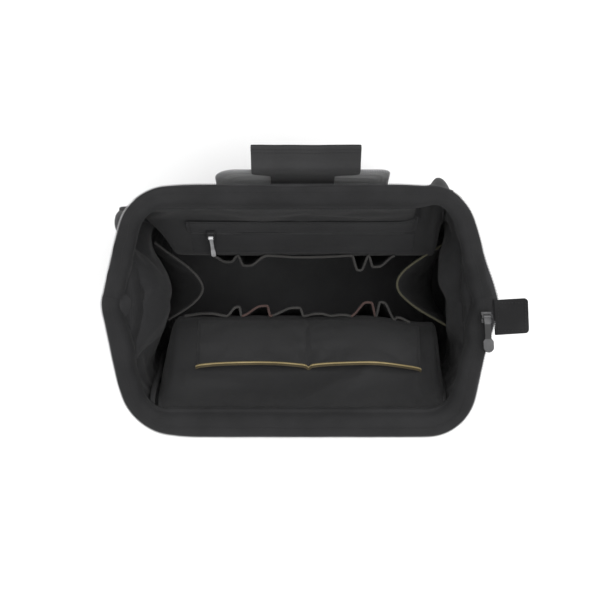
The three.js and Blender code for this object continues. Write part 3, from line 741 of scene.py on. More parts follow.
def makeFloor():
    half = studio["floorSize"] / 2
    corners = [(x * half, y * half, -studio["floorDrop"]) for x, y in ((-1, -1), (1, -1), (1, 1), (-1, 1))]
    paint["paleFloor"], _, shader = newMaterial("paleFloor")
    shader["Base Color"].default_value = (*studio["floor"], 1)
    shader["Roughness"].default_value = studio["floorRough"]
    floor = newMesh("floor", np.array(corners) / metre, [(0, 1, 2, 3)], None, "paleFloor")


def makeLights():
    world = bpy.data.worlds.new("studioSky")
    world.use_nodes = True
    sky = world.node_tree.nodes["Background"]
    sky.inputs["Color"].default_value = (1, 1, 1, 1)
    sky.inputs["Strength"].default_value = studio["sky"]
    scene.world = world
    key = addLight("keyLight", "AREA", studio["key"])
    key.data.size = studio["keySize"]
    key.location = studio["keyAt"]
    aim = Vector(studio["keyAim"]) - Vector(studio["keyAt"])
    key.rotation_euler = aim.to_track_quat("-Z", "Y").to_euler()
    sun = addLight("overhead", "SUN", studio["sun"])
    sun.data.angle = math.radians(studio["sunAngle"])
    sun.rotation_euler = (*(math.radians(turn) for turn in studio["sunTurn"]), 0)
    scene.view_settings.view_transform = "Standard"


makeFloor()
makeLights()
print("camera and studio set")


# Base plate, padded, with rounded edges: rings of the outline by scale, growth and height
baseRings = table(
    "scale grow z",
    (0.05, 0, 0), (0.5, 0, 0), (1, -2.5, 0), (1, -0.9, 0.5), (1, 0, 1.6), (1, 0, 2.6), (1, -0.8, 3.5),
    (1, -2.5, 4.0), (0.75, 0, 4.0), (0.5, 0, 4.2), (0.25, 0, 4.4), (0.05, 0, 4.5),
)
cornerSteps = 13


def baseOutline(grow):
    x, y, r = baseRow["half"] + grow, baseRow["back"] + grow, baseRow["corner"] + grow
    points = []
    for signX, signY, start in ((1, 1, 0), (-1, 1, 90), (-1, -1, 180), (1, -1, 270)):
        for angle in np.radians(np.linspace(start, start + 90, cornerSteps)):
            points.append((signX * (x - r) + r * math.cos(angle), signY * (y - r) + r * math.sin(angle)))
    return np.array(points)


def makeBase():
    rings = []
    for row in baseRings:
        ring = baseOutline(bodySizes["wall"] + row["grow"]) * row["scale"]
        rings.append(np.column_stack([ring, np.full(len(ring), row["z"])]))
    rings = np.array(rings)
    obj = fixNormals(ringsPiece("basePlate", rings, rings[..., :2], "floorCloth"))
    place(obj, "shell_cloth", "base_panel")


makeBase()
print("base made")


# Outer walls: front, back and the two gussets, with soft folds that die out at the seams
wallSizes = {
    "front": {"columns": 61, "rows": 41, "slack": 0.012, "noise": 1.3, "node": "front_panel"},
    "back": {"columns": 61, "rows": 41, "slack": 0.008, "noise": 0.9, "node": "back_panel"},
    "left": {"columns": 57, "rows": 57, "slack": 0.02, "noise": 2.3, "node": "left_gusset"},
    "right": {"columns": 57, "rows": 57, "slack": 0.02, "noise": 2.3, "node": "right_gusset"},
}
wallFolds = {"overlap": 0.5, "holdSide": 5, "holdFoot": 8, "holdTop": 22, "broad": 46, "fine": 21,
             "fineShare": 0.45, "weaveTall": 320, "thick": 2.4, "stiff": 0.6, "cap": 3.5}
wallCreases = {
    "front": table(creaseColumns, (-60, 60, 12, 60, 10, 2.0), (70, 48, -14, 55, 9, 2.2)),
    "back": [],
    "left": table(creaseColumns, (-9, 279, 146, 17, 4.5, 5.0), (10, 272, 92, 13, 4.5, 4.5),
                  (-3, 262, 120, 26, 7, 2.0), (-28, 262, 110, 26, 8, -4.0), (-46, 255, 100, 30, 6, 4.0),
                  (58, 258, 54, 30, 7, 4.0), (34, 262, 70, 34, 9, -3.0)),
    "right": table(creaseColumns, (8, 235, 84, 50, 10, 3.2), (-22, 230, 72, 50, 9, -3.0),
                   (38, 255, 98, 45, 9, -2.6), (18, 276, 12, 22, 8, 5.0), (20, 242, 10, 17, 13, -5.0),
                   (-40, 262, 96, 40, 6, 4.0)),
}


def makeWall(wall):
    sizes, span = wallSizes[wall], bodySizes["seamSpan"][wall]
    edge = 1 + wallFolds["overlap"] / span
    t, h = np.meshgrid(np.linspace(-edge, edge, sizes["columns"]), np.linspace(0, 1, sizes["rows"]))
    point, out = wallAt(wall, t, h), wallOut(wall, t, h)
    hold = np.minimum(h * wallFolds["holdFoot"], (1 - h) * wallFolds["holdTop"])
    hold = np.clip(np.minimum((1 - np.abs(t)) * wallFolds["holdSide"], hold), 0, 1)
    soft = softNoise(point, wallFolds["broad"], "wallBroad")
    soft = soft + softNoise(point, wallFolds["fine"], "wallFine") * wallFolds["fineShare"]
    bend = creaseDepth(wallCreases[wall], t * span, point[..., 2]) + soft * sizes["noise"]
    grid = point + out * (bodySizes["wall"] / 2 + bend * hold)[..., None]
    uv = weaveOf(t * span, h * wallFolds["weaveTall"])
    obj = clothPiece(wall + "Wall", grid, uv, "shellCloth", wallFolds["thick"], "shell_cloth", sizes["node"],
                     slack=sizes["slack"], stiff=wallFolds["stiff"], cap=wallFolds["cap"])


for wallName in wallSizes:
    makeWall(wallName)
print("outer walls made")


# Inside walls that lean in and carry the pockets, calmer below the heights given as calm
panelSizes = {
    "front": {"columns": 65, "rows": 57, "slack": 0.012, "node": "front_pocket_panel"},
    "back": {"columns": 65, "rows": 49, "slack": 0.008, "node": "back_pocket_panel"},
}
panelFolds = {"holdSide": 18, "holdTop": 14, "deeper": 1.6, "noise": 1.6, "noiseSize": 52,
              "calm": (262, 280), "calmShare": 0.4, "thick": 1.6, "stiff": 0.8, "cap": 2.0}
panelCreases = {
    "front": table(creaseColumns, (70, 268, -48, 34, 7, 1.6), (40, 282, -30, 30, 6, 1.2),
                   (-118, 268, 80, 30, 6, 1.6), (-70, 278, 6, 36, 6, 1.1), (126, 262, 96, 34, 7, 1.4)),
    "back": table(creaseColumns, (-40, 292, 3, 60, 6, 0.9), (60, 286, -2, 60, 5, 0.9)),
}


def makePanel(wall):
    sizes, span, foot = panelSizes[wall], bodySizes["seamSpan"][wall], bodySizes["panelFoot"]
    left, right = -span * bodySizes["panelLeft"][1], span * bodySizes["panelRight"][1]
    across, share = np.meshgrid(np.linspace(left, right, sizes["columns"]), np.linspace(0, 1, sizes["rows"]))
    top = wallAt(wall, across[0] / span, 1.0)[:, 2] - bodySizes["panelTop"]
    z = blend(foot, top, share)
    point, into = innerSpot(wall, across, z)
    hold = np.clip(np.minimum(across - left, right - across) / panelFolds["holdSide"], 0, 1)
    hold = hold * np.clip((top - z) / panelFolds["holdTop"], 0, 1)
    bend = creaseDepth(panelCreases[wall], across, z) * panelFolds["deeper"]
    bend = bend + softFold(point, panelFolds, "panel")
    bend = bend * blend(panelFolds["calmShare"], 1, smoothStep(z, *panelFolds["calm"]))
    grid = point + into * (bodySizes["lining"] / 2 + bend * hold)[..., None]
    obj = clothPiece(wall + "PocketPanel", grid, weaveOf(across, z), "liningCloth", panelFolds["thick"],
                     "inner_cloth", sizes["node"], slack=sizes["slack"], stiff=panelFolds["stiff"],
                     cap=panelFolds["cap"])


for wallName in panelSizes:
    makePanel(wallName)
print("inside walls made")


# Rims: a hem over each U frame. Its lip lies on the lining, by depth and stand-off on the cross run and the
# sides. Its roll turns over the frame, by reach and height, and stands more upright on the sides
rimSizes = {
    "steps": 190, "lap": 0.012, "thick": 0.8, "hinge": 0.5, "nearHinge": (0.94, 1.0), "sideSpan": (0.6, 1.0),
    "lip": ((26.0, 0.4, -1.0), (20.0, 1.8, 1.2), (14.0, 2.3, 2.2), (9.0, 2.4, 2.4)), "lipRaise": 0.2,
    "lipScale": (0.55, 0.8), "lipMore": (0.0, 6.0),
    "roll": ((-5.9, -5.2), (-4.2, -1.8), (-1.6, 0.8), (2.4, 2.7), (6.4, 4.4), (9.6, 5.6), (11.8, 6.2),
             (12.8, 5.8)),
    "rollSide": ((-2.7, -11.7), (-2.6, -7.0), (-2.1, -2.6), (0.6, 1.0), (5.6, 3.0), (9.4, 4.9), (11.8, 6.1),
                 (12.8, 5.8)),
    "extra": 2.6, "extraSpan": (0.55, 0.95), "trim": {"front": (4.5, 0.5), "back": (2.5, 4.0)},
    "trimAt": 0.57, "trimSpan": 0.1, "ripple": 0.7, "rippleSize": 26, "crinkle": 2.2, "crinkleSize": 17,
    "stitchRow": 4, "stitchSink": 0.6, "stitchLift": 0.5,
}
# Zip tape under the hem's outer edge: it flares at the slider. Its teeth are painted light grey as a painted
# highlight along the edge, and painted dark as painted shade where the handle shades them
tapeSizes = {"from": 4.5, "to": 14.4, "drop": 1.0, "thick": 0.9, "sewn": 2.0, "flare": 3.5,
             "flareSpan": (0.9, 0.99), "coilLift": 0.4, "litSteps": 40, "columns": 5}


# How far a place along a frame is on the side of the mouth, from 0 on the cross run to 1 at the hinge
def sideShare(end, share):
    q = quarter(topRow, end)
    t = (1 - np.abs(2 * share - 1)) * q["total"] / (q["total"] - q["seam"])
    return 1 - smoothStep(t, *rimSizes["sideSpan"])


# Inside surface of the bag at a depth below the top edge, for places along a frame
def lipAt(end, share, depth, standCross, standSide):
    q, onSide = quarter(topRow, end), sideShare(end, share)
    depth = depth * blend(*rimSizes["lipScale"], onSide) + blend(*rimSizes["lipMore"], onSide)
    sign = np.where(share < 0.5, -1, 1)
    away = np.abs(2 * share - 1) * q["total"]
    points = np.zeros((len(share), 3))
    cross = away <= q["seam"]
    t = (sign * away / q["seam"])[cross]
    z = wallAt(end, t, 1.0)[:, 2] - depth[cross]
    points[cross] = innerAt(end, t * bodySizes["seamSpan"][end], z, standCross)
    for side in ("left", "right"):
        here = ~cross & (sign == -inward[side])
        t = -inward[end] * ((q["total"] - away) / (q["total"] - q["seam"]))[here]
        z = wallAt(side, t, 1.0)[:, 2] - depth[here]
        spot, out, _ = wallSpot(side, t * bodySizes["seamSpan"][side], z)
        inset = bodySizes["panelInset"] * smoothStep(np.abs(t), *rimSizes["sideSpan"]) - rimSizes["lipRaise"]
        points[here] = spot - out * (inset + blend(standCross, standSide, onSide[here]))[:, None]
    return points


# What the hem and the tape of one frame share: its line, how the hem widens, and its lap at the hinges
def rimLine(end):
    share = np.linspace(-rimSizes["lap"], 1 + rimSizes["lap"], rimSizes["steps"])
    away = np.abs(2 * share - 1)
    isFront = end == "front"
    lap = rimSizes["hinge"] * smoothStep(away, *rimSizes["nearHinge"]) * isFront
    wider = rimSizes["extra"] * (1 if isFront else smoothStep(away, *rimSizes["extraSpan"]))
    trim = np.where(share < 0.5, *rimSizes["trim"][end])
    wider = wider - trim * np.exp(-((away - rimSizes["trimAt"]) / rimSizes["trimSpan"]) ** 2)
    spot = frameAt(end, share)
    return {"share": share, "spot": spot, "out": frameOut(end, share), "onSide": sideShare(end, share),
            "lap": lap, "wider": wider, "length": runLength(spot)}


def makeRim(end, line):
    spot, out, onSide, length = (line[label] for label in ("spot", "out", "onSide", "length"))
    ripple = softNoise(spot, rimSizes["rippleSize"], "ripple") * rimSizes["ripple"] * (1 + onSide)
    rows = [lipAt(end, line["share"], *row) for row in rimSizes["lip"]]
    first, last = rimSizes["roll"][0][0], rimSizes["roll"][-1][0]
    for (reach, lift), (sideReach, sideLift) in zip(rimSizes["roll"], rimSizes["rollSide"]):
        side = blend(reach, sideReach, onSide) + ripple + line["wider"] * (reach - first) / (last - first)
        high = blend(lift, sideLift, onSide) + ripple + line["lap"]
        rows.append(spot + out * side[:, None] + upward * high[:, None])
    grid = np.array(rows)
    crinkle = softNoise(grid, rimSizes["crinkleSize"], "crinkle") * rimSizes["crinkle"] * onSide
    grid = grid + out * crinkle[..., None]
    wide = runLength(grid).mean(1)
    uv = weaveOf(length[None], wide[:, None])
    rim = clothPiece(end + "Rim", grid, uv, "hemCloth", rimSizes["thick"], "shell_cloth", end + "_rim")
    stitchLines.append(grid[1] - out * rimSizes["stitchSink"])
    stitchLines.append(grid[len(rimSizes["lip"]) + rimSizes["stitchRow"]] + upward * rimSizes["stitchLift"])


def makeZipTape(end, line):
    length, hemEdge = line["length"], rimSizes["roll"][-1][0]
    across = np.linspace(0, 1, tapeSizes["columns"])[:, None]
    reach = blend(tapeSizes["from"], tapeSizes["to"], across)
    onCross, onSides = (np.interp(reach, *np.array(rimSizes[roll]).T) for roll in ("roll", "rollSide"))
    high = blend(onCross, onSides, line["onSide"]) - tapeSizes["drop"] + line["lap"]
    flare = tapeSizes["flare"] * smoothStep(line["share"], *tapeSizes["flareSpan"]) * across ** 2
    side = reach + line["wider"] * np.minimum(reach / hemEdge, 1) + flare
    tape = line["spot"] + line["out"] * side[..., None] + upward * high[..., None]
    obj = clothPiece(end + "ZipTape", tape, weaveOf(reach, length), "zipTapeCloth", tapeSizes["thick"],
                     "zip_tape", end + "_zip_tape")
    # The back's teeth under the handle get the painted-shade coil; the front and the back's two ends get the
    # painted-highlight coil
    coil = tape[-1] + upward * tapeSizes["coilLift"]
    lit = tapeSizes["litSteps"]
    if end == "front":
        litCoilLines.append(coil)
    else:
        litCoilLines.extend([coil[:lit], coil[-lit:]])
        darkAndShadedCoilLines.append(coil[lit - 1:1 - lit])


for endName in ("front", "back"):
    hemLine = rimLine(endName)
    makeRim(endName, hemLine)
    makeZipTape(endName, hemLine)
print("rims and zip tapes made")


# Seams: bindings in the four inside corners, piping outside them, and a welt round the base
seamSizes = {"from": 0.02, "to": 0.965, "inside": 4.6, "wide": 3.0, "tall": 1.3, "outside": 3.4,
             "piping": 1.9, "weltAt": 4.8, "weltInset": 0.4, "welt": 2.3, "steps": 70, "facing": 0.995}


def makeSeams():
    h = np.linspace(seamSizes["from"], seamSizes["to"], seamSizes["steps"])
    for wall in ("front", "back"):
        for way, label in ((-1, "Left"), (1, "Right")):
            t = np.full(len(h), float(way))
            point, out = wallAt(wall, t, h), wallOut(wall, t * seamSizes["facing"], h)
            inner = tubePiece(wall + label + "Binding", point - out * seamSizes["inside"], out,
                              seamSizes["wide"], seamSizes["tall"], "shellCloth")
            place(inner, "shell_cloth")
            outer = tubePiece(wall + label + "Piping", point + out * seamSizes["outside"], out,
                              seamSizes["piping"], seamSizes["piping"], "shellCloth")
            place(outer, "shell_cloth")
    ring = baseOutline(bodySizes["wall"] - seamSizes["weltInset"])
    ring = np.vstack([ring, ring[:2]])
    path = np.column_stack([ring, np.full(len(ring), seamSizes["weltAt"])])
    welt = tubePiece("baseWelt", path, upward, seamSizes["welt"], seamSizes["welt"], "shellCloth")
    place(welt, "shell_cloth")


makeSeams()
print("seams made")


# Gathered tool pockets: where each starts and ends, where it stands out most and by how much
pocketColumns = "start stop peak deep"
rowSizes = {
    "front": {"bottom": 70, "top": 208, "red": ((-61, -28), (58, 84)), "pockets": table(
        pocketColumns, (-123, -77, -100, 2.5), (-77, -61, -64, 10), (-61, -30, -34, 11), (-30, 6, 1, 9),
        (6, 36, 22, 2.5), (36, 58, 47, 1), (58, 84, 78, 15), (84, 104, 90, 17), (104, 121, 108, 3))},
    "back": {"bottom": 80, "top": 208, "red": (), "pockets": table(
        pocketColumns, (-92, -65, -74, 7), (-65, -34, -57, 11), (-34, 58, 10, 1.5), (58, 76, 66, 16),
        (76, 104, 82, 12))},
}
pocketSizes = {"curl": 1.5, "widest": 0.8, "stand": 2.2, "noise": 0.5, "noiseSize": 26, "thick": 1.2,
               "edgeLift": 0.6, "edge": (1.4, 2.1), "seam": 3.0, "seamFoot": 8, "seamTop": 4, "roundUp": 0.8,
               "softFrom": 0.5, "steps": 6, "rows": 19, "edgeSteps": 3, "seamSteps": 30}


def bulgeAt(pockets, across):
    depth = np.zeros_like(across)
    for row in pockets:
        rising = (across - row["start"]) / (row["peak"] - row["start"])
        falling = (row["stop"] - across) / (row["stop"] - row["peak"])
        share = np.clip(np.minimum(rising, falling) / pocketSizes["widest"], 0, 1)
        depth = np.maximum(depth, row["deep"] * rounded(share ** pocketSizes["curl"]))
    return depth


def makeToolRow(wall):
    sizes, pockets = rowSizes[wall], rowSizes[wall]["pockets"]
    outward = np.array([0, inward[wall], 0])
    stops = []
    for row in pockets:
        for start, stop in (("start", "peak"), ("peak", "stop")):
            stops += [*np.linspace(row[start], row[stop], pocketSizes["steps"], endpoint=False)]
    stops = np.array(stops + [pockets[-1]["stop"]])
    across, v = np.meshgrid(stops, np.linspace(0, 1, pocketSizes["rows"]))
    z = blend(sizes["bottom"], sizes["top"], v)
    point, into = innerSpot(wall, across, z)
    bulge = bulgeAt(pockets, across)
    stand = bodySizes["lining"] / np.abs(into[..., 1]) + pocketSizes["stand"]
    stand = stand + bulge * rounded(v, pocketSizes["roundUp"])
    soft = softFold(point, pocketSizes, "toolRow")
    grid = point + outward * (stand + soft * (bulge > pocketSizes["softFrom"]))[..., None]
    length = runLength(np.column_stack([stops, bulge[-1]]))
    obj = clothPiece(wall + "ToolPockets", grid, weaveOf(length[None], z), "liningCloth",
                     pocketSizes["thick"], "inner_cloth", wall + "_tool_pockets")
    edge = smoothPath(grid[-1] + upward * pocketSizes["edgeLift"], pocketSizes["edgeSteps"] * len(stops))
    binding = tubePiece(wall + "ToolBinding", edge, upward, *pocketSizes["edge"], "darkBinding")
    binding.data.materials.append(paint["redBinding"])
    for face in binding.data.polygons:
        x = face.center.x / metre
        face.material_index = int(any(start < x < stop for start, stop in sizes["red"]))
    place(binding, "dark_binding", wall + "_tool_binding")
    low, high = sizes["bottom"] + pocketSizes["seamFoot"], sizes["top"] - pocketSizes["seamTop"]
    heights = np.linspace(low, high, pocketSizes["seamSteps"])
    for row in pockets[1:]:
        spot, normal = innerSpot(wall, row["start"], heights)
        stand = bodySizes["lining"] / np.abs(normal[:, 1:2]) + pocketSizes["seam"]
        stitchLines.append(spot + outward * stand)


for wallName in ("front", "back"):
    makeToolRow(wallName)
print("tool pockets made")


# Side pouches on the gussets: edges and tip across the gusset from its hinge, depth, heights, edge colour
pouchSizes = {
    "left": {"front": -20, "back": 58, "tip": 14, "deep": 34, "bottom": 40, "top": 203,
             "edge": "darkBinding"},
    "right": {"front": -27, "back": 56, "tip": 13, "deep": 43, "bottom": 40, "top": 205,
              "edge": "oliveBinding"},
}
pouchCloth = {"stand": 2.6, "noise": 1.1, "noiseSize": 30, "noiseRise": 3, "thick": 1.6, "edgeLift": 0.6,
              "edge": (1.35, 2.2), "stitch": 1.0, "roundAcross": 1.1, "roundUp": 0.8, "frontSteps": 21,
              "backSteps": 24, "rows": 25, "edgeSteps": 110,
              "settling": {"slack": 0.012, "stiff": 0.5, "cap": 2.0}}


def makePouch(side):
    sizes = pouchSizes[side]
    outward = np.array([inward[side], 0, 0])
    front, tip, back = sizes["front"], sizes["tip"], sizes["back"]
    stops = np.concatenate([np.linspace(front, tip, pouchCloth["frontSteps"], endpoint=False),
                            np.linspace(tip, back, pouchCloth["backSteps"])])
    across, v = np.meshgrid(stops, np.linspace(0, 1, pouchCloth["rows"]))
    z = blend(sizes["bottom"], sizes["top"], v)
    point = wallSpot(side, across, z)[0]
    share = np.clip(np.minimum((across - front) / (tip - front), (back - across) / (back - tip)), 0, 1)
    openShare = rounded(share, pouchCloth["roundAcross"]) * rounded(v, pouchCloth["roundUp"])
    soft = softFold(point, pouchCloth, "pouch") * np.minimum(openShare * pouchCloth["noiseRise"], 1)
    grid = point + outward * (pouchCloth["stand"] + sizes["deep"] * openShare + soft)[..., None]
    obj = clothPiece(side + "SidePocket", grid, weaveOf(runLength(grid[-1])[None], z), "pouchCloth",
                     pouchCloth["thick"], "inner_cloth", side + "_side_pocket", **pouchCloth["settling"])
    edge = smoothPath(grid[-1] + upward * pouchCloth["edgeLift"], pouchCloth["edgeSteps"])
    binding = tubePiece(side + "SideBinding", edge, upward, *pouchCloth["edge"], sizes["edge"])
    place(binding, "dark_binding", side + "_side_binding")
    stitchLines.append(grid[-2] + outward * pouchCloth["stitch"])


for sideName in pouchSizes:
    makePouch(sideName)
print("side pouches made")


# Flat pocket on the front inside wall, with its tan-striped edge and a seam down the middle
slipSizes = {"left": -108, "right": 130, "bottom": 216, "top": 264, "columns": 73, "rows": 17, "gap": 1.0,
             "stand": 6.5, "seam": 11, "seamDeep": 1.3, "seamWide": 2.4, "noise": 0.35, "noiseSize": 34,
             "thick": 1.2, "edgeRise": 1.2, "edgeIn": 0.3, "edge": (1.1, 3.0), "stripe": (0.75, 1.1),
             "stripeIn": 0.75, "stripeDrop": 0.2, "stitch": 0.9, "roundAcross": 0.5, "roundUp": 1.3,
             "edgeSteps": 150, "settling": {"slack": 0.008, "stiff": 0.6, "cap": 1.2}}


def makeSlipPocket():
    columns, rows = slipSizes["columns"], slipSizes["rows"]
    u, v = np.meshgrid(np.linspace(0, 1, columns), np.linspace(0, 1, rows))
    across = blend(slipSizes["left"], slipSizes["right"], u)
    z = blend(slipSizes["bottom"], slipSizes["top"], v)
    point, into = innerSpot("front", across, z)
    stand = slipSizes["stand"] * np.abs(np.sin(2 * math.pi * u)) ** slipSizes["roundAcross"]
    stand = stand * v ** slipSizes["roundUp"]
    grid = point + into * (bodySizes["lining"] + slipSizes["gap"] + stand)[..., None]
    seam = -slipSizes["seamDeep"] * np.exp(-((across - slipSizes["seam"]) / slipSizes["seamWide"]) ** 2)
    grid = grid + into * (seam + softFold(grid, slipSizes, "slipPocket"))[..., None]
    middle = columns // 2
    sewn = np.unique(np.concatenate([borderOf(rows, columns), np.arange(rows) * columns + middle]))
    obj = clothPiece("slipPocket", grid, weaveOf(across, z), "slipCloth", slipSizes["thick"], "inner_cloth",
                     "slip_pocket", pinned=sewn, **slipSizes["settling"])
    rise = unit(grid[-1] - grid[-2])
    edge = grid[-1] + rise * slipSizes["edgeRise"] + into[-1] * slipSizes["edgeIn"]
    edge = smoothPath(edge, slipSizes["edgeSteps"])
    up, inner = (resample(ways, u[0], np.linspace(0, 1, len(edge))) for ways in (rise, into[-1]))
    binding = tubePiece("slipPocketBinding", edge, up, *slipSizes["edge"], "brownBinding", sides=12)
    place(binding, "tan_binding", "slip_pocket_binding")
    line = edge + inner * slipSizes["stripeIn"] - up * slipSizes["stripeDrop"]
    place(tubePiece("slipPocketStripe", line, up, *slipSizes["stripe"], "tanBinding"), "tan_binding")
    for column in (1, middle, columns - 2):
        stitchLines.append(grid[1:-1, column] + into[1:-1, column] * slipSizes["stitch"])


makeSlipPocket()


# Zipped pocket on the back inside wall: a patch, the tape strip and the zip line between them
zipSizes = {"left": -110, "right": 123, "bottom": 214, "top": 244, "tapeTop": 267, "columns": 73,
            "halfGap": 1.6, "stand": 1.1, "noise": 0.3, "noiseSize": 30, "thick": 0.7, "stitch": 0.8,
            "coilLeft": 3, "coilRight": 12, "coilRise": 0.2, "coilStand": 1.4, "coilSteps": 120,
            "rows": 13, "tapeRows": 9}


def backPatch(name, bottom, top, rows, slotName, node):
    stops = np.linspace(zipSizes["left"], zipSizes["right"], zipSizes["columns"])
    across, z = np.meshgrid(stops, np.linspace(bottom, top, rows))
    point, into = innerSpot("back", across, z)
    soft = softFold(point, zipSizes, "zipPocket")
    grid = point + into * (bodySizes["lining"] + zipSizes["stand"] + soft)[..., None]
    obj = clothPiece(name, grid, weaveOf(across, z), "shellCloth", zipSizes["thick"], slotName, node)
    return grid + into * zipSizes["stitch"]


def makeZipPocket():
    low, high = zipSizes["top"] - zipSizes["halfGap"], zipSizes["top"] + zipSizes["halfGap"]
    backPatch("zipPocket", zipSizes["bottom"], low, zipSizes["rows"], "inner_cloth", "zip_pocket")
    sewn = backPatch("zipPocketTape", high, zipSizes["tapeTop"], zipSizes["tapeRows"], "zip_tape",
                     "zip_pocket_tape")
    stitchLines.extend([sewn[-2], sewn[:, 1], sewn[:, -2]])
    left, right = zipSizes["left"] + zipSizes["coilLeft"], zipSizes["right"] - zipSizes["coilRight"]
    coilZ = zipSizes["top"] + zipSizes["coilRise"]
    spot, normal = innerSpot("back", np.linspace(left, right, zipSizes["coilSteps"]), coilZ)
    darkAndShadedCoilLines.append(spot + normal * (bodySizes["lining"] + zipSizes["coilStand"]))


makeZipPocket()
print("flat pocket and zipped pocket made")


# Carry handle: a webbing arch sewn to the back that leans away, and the cloth wrap round its middle
handleSizes = {"middle": 4.5, "half": 66.5, "sewnFrom": 206, "bend": 240, "reach": 90, "lean": 19,
               "ease": 30, "web": 37, "thick": 2.5, "ribs": 9, "ribDepth": 0.2, "edge": 0.56, "off": 0.4,
               "roundLeft": 20, "roundRight": 9, "roundInside": 3, "stitchHalf": 14, "stitchFrom": 4,
               "stitchTo": 26, "stitch": 0.45, "legSteps": 26, "topSteps": 24, "turnSteps": 14}
wrapSizes = {"middle": 7.5, "half": 52, "throat": 31, "throatFrom": 9.0, "throatTo": 6.5, "flap": 25,
             "flapLean": 52, "flapRows": ((1, 1.2), (0.72, 1.5), (0.4, 1.5)), "neck": (2.0, 2.0),
             "root": 3.4, "hold": 1.3, "fold": 2.8,
             "gripRows": ((0.5, 4.0, 0.0), (0.0, 0.0, 0.3), (-0.5, -1.0, 0.0)),
             "thick": 1.5, "noise": 0.8, "noiseSize": 28, "sagFrom": 18, "sagTo": 8, "areaShare": 0.84,
             "stitchRows": (2, 4), "stitch": (0.5, 0.8), "rows": 85, "columns": 41}


def archPlace(x, rise, lift):
    z = handleSizes["sewnFrom"] + rise
    point, out, _ = wallSpot("back", x, np.minimum(z, handleSizes["bend"]))
    point = point + out * (bodySizes["wall"] + handleSizes["off"] + lift)[..., None]
    over = np.maximum(z - handleSizes["bend"], 0)
    ease = np.minimum(over / handleSizes["ease"], 1) * math.radians(handleSizes["lean"])
    point[..., 1] += over * np.sin(ease)
    point[..., 2] += over * np.cos(ease)
    return point


archTop = handleSizes["bend"] - handleSizes["sewnFrom"] + handleSizes["reach"] - handleSizes["web"] / 2


# One edge of the webbing: up the left leg, over the top and down the right leg
def archEdge(grow, roundLeft, roundRight):
    left = handleSizes["middle"] - handleSizes["half"] - grow
    right = handleSizes["middle"] + handleSizes["half"] + grow
    top, legs = archTop + grow, handleSizes["legSteps"]
    turn = np.linspace(0, math.pi / 2, handleSizes["turnSteps"])
    over = np.linspace(left + roundLeft, right - roundRight, handleSizes["topSteps"])
    points = [(left, rise) for rise in np.linspace(0, top - roundLeft, legs)[:-1]]
    points += [(left + roundLeft * (1 - math.cos(a)), top - roundLeft * (1 - math.sin(a))) for a in turn]
    points += [(x, top) for x in over[1:-1]]
    points += [(right - roundRight * (1 - math.sin(a)), top - roundRight * (1 - math.cos(a))) for a in turn]
    points += [(right, rise) for rise in np.linspace(top - roundRight, 0, legs)[1:]]
    return np.array(points)


def makeHandle():
    half, thick = handleSizes["web"] / 2, handleSizes["thick"]
    outer = archEdge(half, handleSizes["roundLeft"], handleSizes["roundRight"])
    inner = archEdge(-half, handleSizes["roundInside"], handleSizes["roundInside"])
    loop = ribLoop(thick, handleSizes["ribs"], handleSizes["ribDepth"], handleSizes["edge"])
    spots = blend(inner[:, None], outer[:, None], (loop[:, :1] + 1) / 2)
    rings = archPlace(spots[..., 0], spots[..., 1], np.broadcast_to(loop[:, 1] + thick / 2, spots.shape[:2]))
    length = runLength((outer + inner) / 2)
    uv = weaveOf(loop[None, :, 0] * half, length[:, None])
    obj = fixNormals(ringsPiece("handleStrap", rings, uv, "handleWebbing"))
    place(obj, "webbing", "handle_strap")
    side, low, high = handleSizes["stitchHalf"], handleSizes["stitchFrom"], handleSizes["stitchTo"]
    box = cornerLine([(-side, low), (side, low), (side, high), (-side, high), (-side, low), (side, high),
                      (side, low), (-side, high)])
    for way in (-1, 1):
        x = handleSizes["middle"] + way * handleSizes["half"] + box[:, 0]
        stitchLines.append(archPlace(x, box[:, 1], np.full(len(box), thick + handleSizes["stitch"])))


makeHandle()


# Directions along and out of a sheet that leans back by an angle, as depth and height
def leanAxes(degrees):
    turn = math.radians(degrees)
    return np.array([math.sin(turn), math.cos(turn)]), np.array([math.cos(turn), -math.sin(turn)])


